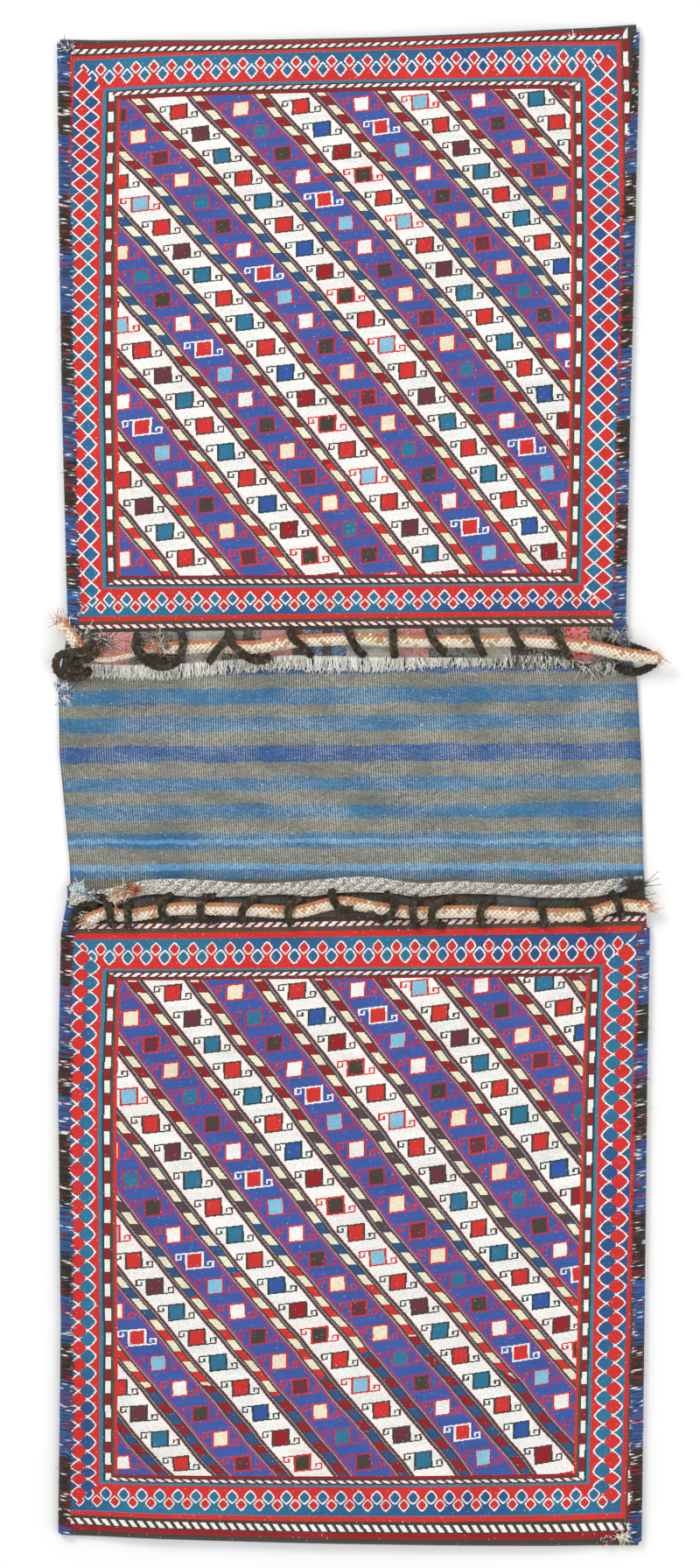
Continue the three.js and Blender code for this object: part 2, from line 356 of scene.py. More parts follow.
def pair(x, y, z=0.0):
    tree = next(value.tree for value in (x, y) if isinstance(value, Flow))
    node = tree.nodes.new("ShaderNodeCombineXYZ")
    for value, socket in zip((x, y, z), node.inputs):
        feed(tree, value, socket)
    return Flow(tree, node.outputs[0])


def whiteNoise(x, y):
    spot = pair(x, y)
    node = spot.tree.nodes.new("ShaderNodeTexWhiteNoise")
    node.noise_dimensions = "2D"
    feed(spot.tree, spot, node.inputs["Vector"])
    return Flow(spot.tree, node.outputs["Value"])


def softNoise(x, y, scale, detail=2.0):
    spot = pair(x * scale, y * scale)
    node = spot.tree.nodes.new("ShaderNodeTexNoise")
    node.noise_dimensions = "2D"
    node.inputs["Scale"].default_value = 1.0
    node.inputs["Detail"].default_value = detail
    feed(spot.tree, spot, node.inputs["Vector"])
    return Flow(spot.tree, node.outputs["Fac"])


def newGroup(name, inputs, outputs):
    tree = bpy.data.node_groups.new(name, "ShaderNodeTree")
    for socketName, start in inputs.items():
        kind = "NodeSocketColor" if isinstance(start, tuple) else "NodeSocketFloat"
        socket = tree.interface.new_socket(socketName, in_out="INPUT", socket_type=kind)
        socket.default_value = (*start, 1) if isinstance(start, tuple) else start
    for socketName, kind in outputs.items():
        tree.interface.new_socket(socketName, in_out="OUTPUT", socket_type="NodeSocket" + kind)
    source = tree.nodes.new("NodeGroupInput")
    return tree, [Flow(tree, source.outputs[socketName]) for socketName in inputs]


def closeGroup(tree, *values):
    sink = tree.nodes.new("NodeGroupOutput")
    for value, socket in zip(values, sink.inputs):
        feed(tree, value, socket)
    return tree


def useGroup(tree, group, **values):
    node = tree.nodes.new("ShaderNodeGroup")
    node.node_tree = group
    for name, value in values.items():
        feed(tree, value, node.inputs[name])
    return [Flow(tree, socket) for socket in node.outputs]


# Snaps a place on the cloth to its stitch. Gives that stitch's own shade and its slanting, rounded height.
def buildStitches():
    tree, (across, down, width, height, lean) = newGroup(
        "stitches", {"across": 0.0, "down": 0.0, "width": 0.7, "height": 0.62, "lean": 0.7},
        {"across": "Float", "down": "Float", "shade": "Float", "relief": "Float"})
    row = maths("FLOOR", down / height)
    column = maths("FLOOR", across / width)
    inRow = maths("FRACT", down / height)
    turned = 1.0 - maths("FLOORED_MODULO", row, 2.0) * 2.0
    inColumn = maths("FRACT", across / width + (inRow - 0.5) * turned * lean + 0.5)
    bulge = inRow * (1.0 - inRow) * inColumn * (1.0 - inColumn) * 16.0
    return closeGroup(tree, (column + 0.5) * width, (row + 0.5) * height, whiteNoise(column, row),
                      maths("POWER", maths("MAXIMUM", bulge, 0.0), 0.5))


# Uneven dyeing, dust and rubbed spots, laid over a colour.
def buildAge():
    tree, (colour, across, down, shade, unevenness, rubbed) = newGroup(
        "age",
        {"colour": (0.5, 0.5, 0.5), "across": 0.0, "down": 0.0, "shade": 0.5, "unevenness": 1.0,
         "rubbed": 1.0},
        {"colour": "Color"})
    streaks = softNoise(across * 0.25, down, 0.09, 3.0)
    patches = softNoise(across, down, 0.016, 2.0)
    level = (1.03 + (shade - 0.5) * 0.34 * unevenness + (streaks - 0.5) * 0.3 * unevenness
             + (patches - 0.5) * 0.2)
    node = tree.nodes.new("ShaderNodeVectorMath")
    node.operation = "SCALE"
    feed(tree, colour, node.inputs[0])
    feed(tree, level, node.inputs["Scale"])
    aged = Flow(tree, node.outputs[0])
    specks = above(softNoise(across, down, 0.45, 1.0) + (shade - 0.5) * 0.16, 0.81) * rubbed
    return closeGroup(tree, blended(specks * 0.4, aged, dyes["ivory"]))


# The border between the face's stripes: red and teal lozenges in two staggered rows, with a white line
# between them.
lozengePlan = {
    "stepUpright": 15.05, "stepLying": 16.2, "redMiddle": 0.32, "tealMiddle": 0.605,
    "upright": (0.435, 0.25, 0.435, 0.25, 0.28), "lying": (0.24, 0.17, 0.27, 0.2, 0.42),
}


def buildLozenges():
    tree, (along, depth, upright, ground, rounding) = newGroup(
        "lozenges", {"along": 0.0, "depth": 0.0, "upright": 1.0, "ground": dyes["teal"], "rounding": 1.0},
        {"colour": "Color"})
    step = lozengePlan["stepLying"] + (lozengePlan["stepUpright"] - lozengePlan["stepLying"]) * upright
    sizes = [low + upright * (high - low) for high, low in zip(lozengePlan["upright"], lozengePlan["lying"])]
    redAlong = maths("PINGPONG", along, step / 2.0) / step
    tealAlong = 0.5 - redAlong

    def shape(reach, away, wide, deep):
        first = maths("POWER", reach / wide, rounding)
        return first + maths("POWER", maths("ABSOLUTE", depth - away) / deep, rounding)

    redShape = shape(redAlong, lozengePlan["redMiddle"], sizes[0], sizes[1])
    tealShape = shape(tealAlong, lozengePlan["tealMiddle"], sizes[2], sizes[3])
    outer = below(depth, (lozengePlan["redMiddle"] + lozengePlan["tealMiddle"]) / 2)
    colour = blended(outer, dyes["red"], ground)
    outlines = maths("MAXIMUM", below(redShape, sizes[4] + 1.0), below(tealShape, sizes[4] + 1.0))
    colour = blended(outlines, colour, dyes["ivory"])
    colour = blended(below(tealShape, 1.0), colour, ground)
    return closeGroup(tree, blended(below(redShape, 1.0), colour, dyes["red"]))


# Slanting bands, by turns ivory and blue, with hooked squares in them and a dashed bar between each two.
bandPlan = {
    "squareHalf": (8.1, 7.3), "fillHalf": (6.2, 5.9), "skew": 0.1, "rowPitch": 22.2,
    "hooks": [
        ((8, 17.3), (6.2, 7.4)), ((15.6, 17.3), (1.6, 7.4)), ((11.2, 17.3), (1.6, 2.8)),
        ((11.2, 12.8), (1.6, 5.1)),
    ],
    "crossing": [
        (0, "ivory"), (17.2, "maroon"), (18.6, "darkGreen"), (20.3, "lineGrey"), (21.4, "darkBrown"),
        (31, "darkBrown"),
        (32.9, "lineGrey"), (34, "magenta"), (35.3, "blue"), (36.2, "magenta"), (37.4, "blue"),
    ],
    "bar": (23.4, 30.7), "dashRows": 0.82,
    "ivoryFills": ["red", "plum", "teal", "red", "teal", "red", "violetBlue", "maroon", "darkBrown", "red",
                   "paleBlue"],
    "ivoryEdges": [
        "darkBrown", "darkBrown", "darkBrown", "darkBrown", "darkGreen", "darkBrown", "darkGreen",
        "darkBrown", "red",
        "darkBrown", "red",
    ],
    "blueFills": ["cream", "teal", "darkBrown", "ivory", "red", "paleBlue", "ivory", "darkBrown", "cream",
                  "plum"],
    "blueEdges": ["red", "magenta", "magenta", "red", "ivory", "magenta", "red", "magenta", "red", "red"],
}


def buildBands():
    tree, (across, row, period, phase, barDye, dashDye) = newGroup(
        "slantedBands",
        {"across": 0.0, "row": 0.0, "period": 108.0, "phase": 106.4, "barDye": dyes["maroon"],
         "dashDye": dyes["cream"]},
        {"colour": "Color"})
    half = period / 2
    step = period / 6
    fromIvory = maths("PINGPONG", across - phase - row * step, half) / period * 108.0
    colour = striped(fromIvory / 54.0, [(start / 54, name) for start, name in bandPlan["crossing"]])
    dash = below(part(row, bandPlan["dashRows"]), 0.5)
    colour = blended(between(fromIvory, *bandPlan["bar"]), colour, blended(dash, barDye, dashDye))
    # The motif's own place: which row, which band, and how far from its middle.
    level = maths("ROUND", row)
    fromRow = across - phase - level * step
    band = maths("ROUND", fromRow / half)
    aside = fromRow - band * half
    onBlue = maths("FLOORED_MODULO", band, 2.0)
    lower = (row - level) * bandPlan["rowPitch"] + aside * bandPlan["skew"]
    out = maths("ABSOLUTE", aside)
    turned = lower * maths("SIGN", aside)
    drawn = below(out, bandPlan["squareHalf"][0]) * near(lower, 0.0, bandPlan["squareHalf"][1])
    for (left, right), (low, high) in bandPlan["hooks"]:
        drawn = maths("MAXIMUM", drawn, between(out, left, right) * between(turned, low, high))
    filled = below(out, bandPlan["fillHalf"][0]) * near(lower, 0.0, bandPlan["fillHalf"][1])
    onIvoryGround = below(fromIvory, 17.0) * (1.0 - onBlue)
    onBlueGround = above(fromIvory, 36.6) * onBlue
    inBand = maths("ADD", onIvoryGround, onBlueGround)
    ivoryIndex = level + band * 2.5
    blueIndex = level + (band - 1.0) * 1.5
    edges = blended(onBlue, cycled(ivoryIndex, bandPlan["ivoryEdges"]),
                    cycled(blueIndex, bandPlan["blueEdges"]))
    fills = blended(onBlue, cycled(ivoryIndex, bandPlan["ivoryFills"]),
                    cycled(blueIndex, bandPlan["blueFills"]))
    motif = blended(filled, edges, fills)
    return closeGroup(tree, blended(drawn * inBand, colour, motif))


# The frame round each face, from the cloth's edge inwards: an outer stripe, the lozenge border and an
# inner stripe.
framePlan = {
    "width": 514, "height": 526,
    "left": (7.5, 35, 51.5), "right": (10.9, 40.6, 55), "fold": (16.4, 41, 52), "mouth": (14, 38.5, 50),
    "outerLeft": [(0, "darkBrown"), (0.5, "red")],
    "outerRight": [(0, "darkBrown"), (0.48, "olive"), (0.66, "red")],
    "outerFold": [(0, "darkBrown"), (0.2, "maroon"), (0.36, "darkBrown"), (0.74, "red"), (0.95, "slate")],
    "outerMouth": [(0, "darkBrown"), (0.26, "maroon"), (0.44, "olive"), (0.68, "red")],
    "innerUpright": [(0, "slate"), (0.2, "darkGreen"), (0.68, "olive"), (0.82, "red")],
    "innerLying": [(0, "slate"), (0.2, "darkBrown"), (0.38, "maroon"), (0.6, "darkBrown"), (0.8, "maroon")],
    "foldTeeth": (0.41, 0.64), "mouthTeeth": (0.22, 0.44), "innerTeeth": (2.34, 2.64), "bar": (2.33, 2.63),
    "edgeBar": (0.06, 0.46), "dashStep": 8.1, "barStep": 21,
}


def buildFrame():
    tree, (across, fromFold, field, lozengeDye, rounding) = newGroup(
        "faceFrame",
        {"across": 0.0, "fromFold": 0.0, "field": (1.0, 1.0, 1.0), "lozengeDye": dyes["teal"],
         "rounding": 1.0},
        {"colour": "Color"})

    # 0 to 1 across the outer stripe, 1 to 2 across the border, 2 to 3 across the inner stripe.
    def ring(depth, ends):
        zones = [rescaled(depth, low, high) for low, high in zip((0.0,) + ends[:2], ends)]
        return zones[0] + zones[1] + zones[2] + above(depth, ends[2])

    def dashed(depth, limits):
        place = (depth - limits[0]) * (1 / (limits[1] - limits[0]))
        slant = across / framePlan["dashStep"] + place * 0.55
        return between(depth, *limits) * below(maths("FRACT", slant), 0.56)

    leftRing = ring(across, framePlan["left"])
    rightRing = ring(framePlan["width"] - across, framePlan["right"])
    foldRing = ring(fromFold, framePlan["fold"])
    mouthRing = ring(framePlan["height"] - fromFold, framePlan["mouth"])
    sides = maths("MINIMUM", leftRing, rightRing)
    ends = maths("MINIMUM", foldRing, mouthRing)
    upright = below(sides, ends)
    lying = 1.0 - upright
    depth = maths("MINIMUM", sides, ends)
    onRight = below(rightRing, leftRing)
    onMouth = below(mouthRing, foldRing)
    along = upright * fromFold + lying * across
    border = useGroup(tree, lozengeGroup, along=along, depth=depth - 1.0, upright=upright, ground=lozengeDye,
                      rounding=rounding)[0]
    outerSides = blended(onRight, striped(depth, framePlan["outerLeft"]),
                         striped(depth, framePlan["outerRight"]))
    outerEnds = blended(onMouth, striped(depth, framePlan["outerFold"]),
                        striped(depth, framePlan["outerMouth"]))
    outer = blended(upright, outerEnds, outerSides)
    teeth = blended(onMouth, dashed(depth, framePlan["foldTeeth"]), dashed(depth, framePlan["mouthTeeth"]))
    outer = blended(maths("MULTIPLY", teeth, lying), outer, dyes["ivory"])
    bar = blended(below(part(fromFold, framePlan["barStep"]), 0.5), dyes["maroon"], dyes["ivory"])
    outer = blended(between(depth, *framePlan["edgeBar"]) * upright * onRight, outer, bar)
    inner = blended(upright, striped(depth - 2.0, framePlan["innerLying"]),
                    striped(depth - 2.0, framePlan["innerUpright"]))
    inner = blended(dashed(depth, framePlan["innerTeeth"]) * lying, inner, dyes["ivory"])
    inner = blended(between(depth, *framePlan["bar"]) * upright, inner, bar)
    colour = blended(above(depth, 2.0), blended(above(depth, 1.0), outer, border), inner)
    return closeGroup(tree, blended(above(depth, 3.0), colour, field))


# Fine slanting twill: a share of its stitches in the second colour.
def buildTwill():
    tree, (across, down, shade, first, second, pitch, share) = newGroup(
        "twill",
        {"across": 0.0, "down": 0.0, "shade": 0.5, "first": (1.0, 1.0, 1.0), "second": (0.0, 0.0, 0.0),
                  "pitch": 2.0, "share": 0.4}, {"colour": "Color"})
    place = maths("FRACT", (across + down) / pitch) + (shade - 0.5) * 0.5
    return closeGroup(tree, blended(below(place, share), first, second))


stitchGroup = buildStitches()
ageGroup = buildAge()
lozengeGroup = buildLozenges()
bandGroup = buildBands()
frameGroup = buildFrame()
twillGroup = buildTwill()


def newMaterial(name, roughness=0.9, sheen=0.25):
    material = bpy.data.materials.new(name)
    material.use_nodes = True
    tree = material.node_tree
    shader = tree.nodes["Principled BSDF"]
    shader.inputs["Roughness"].default_value = roughness
    shader.inputs["Specular IOR Level"].default_value = 0.2
    shader.inputs["Sheen Weight"].default_value = sheen
    shader.inputs["Sheen Roughness"].default_value = 0.6
    return material, tree, shader


def clothPlace(tree):
    uv = tree.nodes.new("ShaderNodeUVMap")
    uv.uv_map = "clothMap"
    parts = tree.nodes.new("ShaderNodeSeparateXYZ")
    tree.links.new(uv.outputs[0], parts.inputs[0])
    return Flow(tree, parts.outputs[0]) * 1000.0, Flow(tree, parts.outputs[1]) * 1000.0


def raised(tree, shader, height, distance, strength=0.6):
    bump = tree.nodes.new("ShaderNodeBump")
    bump.inputs["Distance"].default_value = distance * mm
    bump.inputs["Strength"].default_value = strength
    feed(tree, height, bump.inputs["Height"])
    tree.links.new(bump.outputs[0], shader.inputs["Normal"])


faceLooks = {
    "upper": {
        "period": 108, "phase": 106.4, "rowStart": 52, "rowWay": 1, "dashes": [(0, "cream")],
        "rounding": 1.05,
        "bars": [(0, "maroon"), (0.19, "barBlue"), (0.5, "maroon"), (0.78, "red")],
        "middle": 266, "swingAcross": (-6.1, -2.3, 4.65, 5.3, 4.0, 0.9),
        "swingAlong": (-0.4, 3.2, -1.9, 0.2, 0, 2.4),
        "leftPull": (2.6, 4.9, -3.6), "rightPull": (-1.2, -4.0, 5.0),
    },
    "lower": {
        "period": 109.3, "phase": 97.9, "rowStart": 476, "rowWay": -1,
        "dashes": [(0, "cream"), (0.8, "maroon")],
        "bars": [(0, "maroon"), (0.26, "purpleGrey"), (0.47, "barBlue"), (0.62, "red"), (0.8, "barBlue")],
        "rounding": 1.3, "middle": 278, "swingAcross": (1.5, 2.5, 3.2, -1.8, 0.4, -3.7),
        "swingAlong": (-0.4, 2.5, 1.55, 0.8, 2.4, 1.6), "leftPull": (3.2, -0.6, -4.0),
        "rightPull": (1.3, -4.3, 0),
    },
}


swingReach = 200.0
faceMiddle = 266.0


# A smooth drift across the face, from six shares: even, across, along, both, and the squares of each.
# The shares are a fit to how far the real stripes stray from an even lattice, rounded to a tenth or so.
def swing(x, y, shares):
    even, byX, byY, byBoth, byXX, byYY = shares
    return x * byX + y * byY + x * y * byBoth + x * x * byXX + y * y * byYY + even


def faceMaterial(name, looks):
    material, tree, shader = newMaterial(name, 0.88, 0.12)
    across, fromFold = clothPlace(tree)
    stitchAcross, stitchDown, shade, relief = useGroup(tree, stitchGroup, across=across, down=fromFold)
    sway = (softNoise(stitchAcross, stitchDown, 0.02, 2.0) - 0.5) * 5.0
    row = (stitchDown - looks["rowStart"]) * (looks["rowWay"] / bandPlan["rowPitch"]) - 0.55
    zone = (row + 0.55) / 19.1 + (softNoise(stitchAcross, stitchDown, 0.008, 0.0) - 0.5) * 0.2
    bars = striped(zone, looks["bars"])
    dashes = striped(zone, looks["dashes"]) if len(looks["dashes"]) > 1 else dyes[looks["dashes"][0][1]]
    # The stripes swing a little out of true, and so do the borders at the sides.
    x = (stitchAcross - clothLooks["flatWidth"] / 2) / swingReach
    y = (stitchDown - looks["middle"]) * (looks["rowWay"] / -swingReach)
    row = row + swing(x, y, looks["swingAlong"]) * (1 / bandPlan["rowPitch"])
    swungAcross = stitchAcross + swing(x, y, looks["swingAcross"])
    level = (stitchDown - faceMiddle) / faceMiddle
    leftPull, rightPull = (looks[key][0] + level * looks[key][1] + level * level * looks[key][2]
                           for key in ("leftPull", "rightPull"))
    side = stitchAcross / clothLooks["flatWidth"]
    framedAcross = stitchAcross + leftPull + (rightPull - leftPull) * side
    field = useGroup(tree, bandGroup, across=swungAcross + sway, row=row, period=looks["period"],
                     phase=looks["phase"], barDye=bars, dashDye=dashes)[0]
    drift = rescaled(softNoise(stitchAcross, stitchDown, 0.006, 0.0), 0.4, 0.6)
    tealShift = blended(drift, dyes["teal"], dyes["barBlue"])
    woven = useGroup(tree, frameGroup, across=framedAcross, fromFold=stitchDown, field=field,
                     lozengeDye=tealShift,
                     rounding=looks["rounding"])[0]
    aged = useGroup(tree, ageGroup, colour=woven, across=stitchAcross, down=stitchDown, shade=shade)[0]
    feed(tree, aged, shader.inputs["Base Color"])
    raised(tree, shader, relief, 0.4, 0.7)
    return material


clothLooks = {
    "columns": 86, "faceStep": 6, "backStep": 8, "foldSteps": 9, "foldReach": 8, "hemRise": 2.4,
    "flatWidth": 514,
    "wave": 0.8,
}


# Plain weave with the weft packed over its warps, so it stands in fine ribs along the bag.
bridgeLooks = {
    "rib": 2.12, "pick": 0.8, "start": 110, "length": 233, "climb": 6.0, "climbOver": 220.0,
    "stripes": [
        (0, "deepBlue"), (0.040, "bridgeGrey"), (0.094, "bridgeBlue"), (0.154, "bridgeGrey"),
        (0.201, "bridgeBlue"),
        (0.2545, "bridgeGrey"), (0.3116, "deepBlue"), (0.3717, "bridgeGrey"), (0.4318, "bridgeBlue"),
        (0.482, "bridgeGrey"), (0.532, "bridgeBlue"), (0.586, "bridgeGrey"), (0.643, "bridgeBlue"),
        (0.667, "lightBlue"),
        (0.68, "bridgeBlue"), (0.703, "bridgeGrey"), (0.760, "lightBlue"), (0.785, "bridgeBlue"),
        # The last grey stripe, next to the hem, is darker: painted shadow of the rolled hem.
        (0.814, "hemShadedGrey"), (0.90, "bridgeBlue"),
    ],
}


def bridgeMaterial():
    material, tree, shader = newMaterial("stripedPlainWeave", 0.92, 0.1)
    across, along = clothPlace(tree)
    ribAcross, pick, shade, relief = useGroup(
        tree, stitchGroup, across=across, down=along, width=bridgeLooks["rib"], height=bridgeLooks["pick"],
        lean=0.0)
    sway = (softNoise(across * 0.5, along, 0.05, 2.0) - 0.5) * 5.0 + (whiteNoise(ribAcross, 7.0) - 0.5) * 0.8
    turn = bridgeLooks["length"]
    # The stripes climb a little to the right near the upper bag.
    steepness = bridgeLooks["climb"] / bridgeLooks["climbOver"]
    climb = (across / clothLooks["flatWidth"]) * (pick + bridgeLooks["climbOver"] / 2) * steepness
    place = maths("FLOORED_MODULO", bridgeLooks["start"] - pick + sway + climb, turn) / turn
    stripes = striped(place, bridgeLooks["stripes"])
    deeper = rescaled(softNoise(across, along, 0.012, 2.0), 0.4, 0.7) * 0.35
    shifted = blended(deeper, stripes, dyes["deepBlue"], "SOFT_LIGHT")
    # Pale warp glints between the ribs where the weft is thin, most of all in the grey.
    groove = maths("ABSOLUTE", maths("FRACT", across / bridgeLooks["rib"]) - 0.5) * 2.0
    thin = rescaled(softNoise(across * 0.6, along, 0.03, 3.0), 0.3, 0.65)
    glint = above(groove, 0.62) * thin * (0.25 + shade * 0.55)
    colour = blended(glint, shifted, dyes["warpLight"])
    # Painted shade: the middle of every rib is darkened towards hemDark, standing in for the shading that
    # shows the ribs.
    colour = blended(below(groove, 0.3) * 0.42, colour, dyes["hemDark"])
    aged = useGroup(tree, ageGroup, colour=colour, across=across, down=along, shade=shade, unevenness=1.3)[0]
    feed(tree, aged, shader.inputs["Base Color"])
    raised(tree, shader, 1.0 - groove + relief * 0.4, 0.5, 0.6)
    return material


# The slit bands: blocks of twill in their own colours. Each is (start across the bag, dye).
slitBandBlocks = {
    "upper": [
        (-262, "hemDark"), (-232, "pink"), (-195, "hemDark"), (-155, "seamBlue"), (-145, "hemGrey"),
        (-114, "hemDark"),
        (-79, "pink"), (-41, "seamBlue"), (-2, "hemGrey"), (40, "pink"), (73, "hemDark"), (122, "hemGrey"),
        (153, "hemDark"), (200, "red"), (222, "hemDark"),
    ],
    "lower": [
        (-262, "seamBlue"), (-240, "hemDark"), (-213, "pink"), (-203, "hemGrey"), (-193, "hemDark"),
        (-158, "cream"),
        (-139, "hemDark"), (-120, "skyGrey"), (-93, "hemDark"), (-46, "pink"), (-20, "hemDark"),
        (28, "skyGrey"),
        (58, "red"), (89, "hemDark"), (122, "skyGrey"), (158, "hemDark"), (200, "pink"), (228, "hemDark"),
    ],
}


def slitBandMaterial():
    material, tree, shader = newMaterial("slitBandWeave", 0.92, 0.1)
    across, along = clothPlace(tree)
    x, y, shade, relief = useGroup(tree, stitchGroup, across=across, down=along, width=0.75, height=0.75,
                                   lean=0.0)
    place = (x + 1.5 * whiteNoise(y, 3.0)) / clothLooks["flatWidth"]
    shift = -outline[4][1] / clothLooks["flatWidth"]
    strips = {}
    for name, blocks in slitBandBlocks.items():
        strips[name] = striped(place, [(max(0, start / clothLooks["flatWidth"] + shift), dyeName)
                                       for start, dyeName in blocks])
    block = blended(above(y, 2500.0), strips["upper"], strips["lower"])
    colour = useGroup(tree, twillGroup, across=x, down=y, shade=shade, first=dyes["hemIvory"], second=block,
                      pitch=2.25, share=0.58)[0]
    # Painted shadow: a dark strip along the face on both bands stands for the shade of the slits that the
    # loops come out of. Random 9 mm columns of the band are darkened too.
    lower = above(y, 2500.0)
    edge = above(part(y, 1000.0), 27.5) * (1.0 - lower) + below(part(y, 1000.0), 4.5) * lower
    edge = maths("MAXIMUM", edge, below(whiteNoise(maths("FLOOR", x / 9.0), 1.0), 0.12))
    colour = blended(edge * 0.85, colour, dyes["hemDark"])
    aged = useGroup(tree, ageGroup, colour=colour, across=x, down=y, shade=shade, unevenness=1.4)[0]
    feed(tree, aged, shader.inputs["Base Color"])
    raised(tree, shader, relief, 0.5, 0.8)
    return material


# Salt-and-pepper twill of the rolled hem.
def hemMaterial():
    material, tree, shader = newMaterial("pepperedHem", 0.92, 0.1)
    across, along = clothPlace(tree)
    x, y, shade, relief = useGroup(tree, stitchGroup, across=across, down=along, width=0.8, height=0.8,
                                   lean=0.0)
    colour = useGroup(tree, twillGroup, across=x, down=y, shade=shade, first=dyes["hemIvory"],
                      second=dyes["hemDark"],
                      pitch=2.4, share=0.4)[0]
    aged = useGroup(tree, ageGroup, colour=colour, across=x, down=y, shade=shade, unevenness=1.2)[0]
    feed(tree, aged, shader.inputs["Base Color"])
    raised(tree, shader, relief, 0.5, 0.8)
    return material


# Yarn coloured along its own length, with fine fibres.
def yarnMaterial(name, sheen=0.2, fibre=900.0):
    material, tree, shader = newMaterial(name, 0.9, sheen)
    colour = tree.nodes.new("ShaderNodeVertexColor")
    colour.layer_name = "yarnColour"
    noise = tree.nodes.new("ShaderNodeTexNoise")
    noise.inputs["Scale"].default_value = fibre
    noise.inputs["Detail"].default_value = 3.0
    place = tree.nodes.new("ShaderNodeTexCoord")
    tree.links.new(place.outputs["Object"], noise.inputs["Vector"])
    level = tree.nodes.new("ShaderNodeVectorMath")
    level.operation = "SCALE"
    tree.links.new(colour.outputs[0], level.inputs[0])
    feed(tree, Flow(tree, noise.outputs[0]) * 0.7 + 0.66, level.inputs["Scale"])
    tree.links.new(level.outputs[0], shader.inputs["Base Color"])
    raised(tree, shader, Flow(tree, noise.outputs[0]), 0.5, 0.5)
    return material


clothMaterials = [
    faceMaterial("upperFaceWeave", faceLooks["upper"]), faceMaterial("lowerFaceWeave", faceLooks["lower"]),
    bridgeMaterial(), slitBandMaterial(), hemMaterial(),
]
seamYarn = yarnMaterial("overcastYarn", 0.15)
ropeYarn = yarnMaterial("ropeYarn", 0.15)
goatHair = yarnMaterial("goatHair", 0.04, 700.0)
fringeYarn = yarnMaterial("fringeYarn", 0.15)
print("materials ready")


ropeLooks = {
    "diameter": 11.5, "strands": 6, "strandRadius": 1.32, "wander": 4.1, "weaveDepth": 0.75, "pitch": 27,
    "stepLength": 1.1, "coreRadius": 3.2,
}
# Where the ropes run: across, along, and height above where a rope lies on the cloth.
upperRopeRoute = [
    (-259, 146, 3), (-250, 135, 7), (-240, 122, 10), (-226, 115.5, 10), (-208, 117, 3), (-187, 122.5, 0),
    (-160, 125, 0), (-118, 126.3, 0), (-87, 125.8, 0), (-49, 131, 0), (1, 133, 0), (36, 131.5, 0),
    (74, 131, 0), (110, 131, 0), (146.5, 131.8, 0), (187, 129, 0), (212, 125.5, 5), (224, 123, 8),
    (236, 120, 10), (254, 117.5, 10), (269, 116, 9),
]
lowerRopeRoute = [
    (-237, -117, 0), (-220, -110, 0), (-200.5, -112.5, 0), (-158, -106.5, 0), (-120.5, -106.5, 0),
    (-90.5, -107.5, 0), (-51, -109, 0), (-12, -101, 0), (24.5, -106.5, 0), (57, -110, 0), (84.5, -109, 0),
    (121.5, -109.3, 0), (165, -111.3, 0), (206, -111, 0), (233, -104, 0), (250, -103.5, 0), (262, -105, 0),
]


def ropeHeight(x, y):
    return faceTopAt(x, y) + bag["ropeRadius"] + bag["ropeGap"]


def sideAndUp(line, aside=(0, 0, 1)):
    tangent = unit(np.gradient(line, axis=0))
    side = unit(np.cross(np.broadcast_to(np.asarray(aside, float), tangent.shape), tangent))
    return side, np.cross(tangent, side)


def mixedTint(random, names, shares, count, spread=0.12):
    picks = random.choice(len(names), size=count, p=np.asarray(shares) / sum(shares))
    tint = np.array([dyes[name] for name in names])[picks]
    return np.clip(tint * (1 + random.uniform(-spread, spread, (count, 1))), 0, 1)


def slowNoise(random, count, reach):
    return np.convolve(random.normal(0, 1, count + reach - 1), np.ones(reach) / reach, "valid")


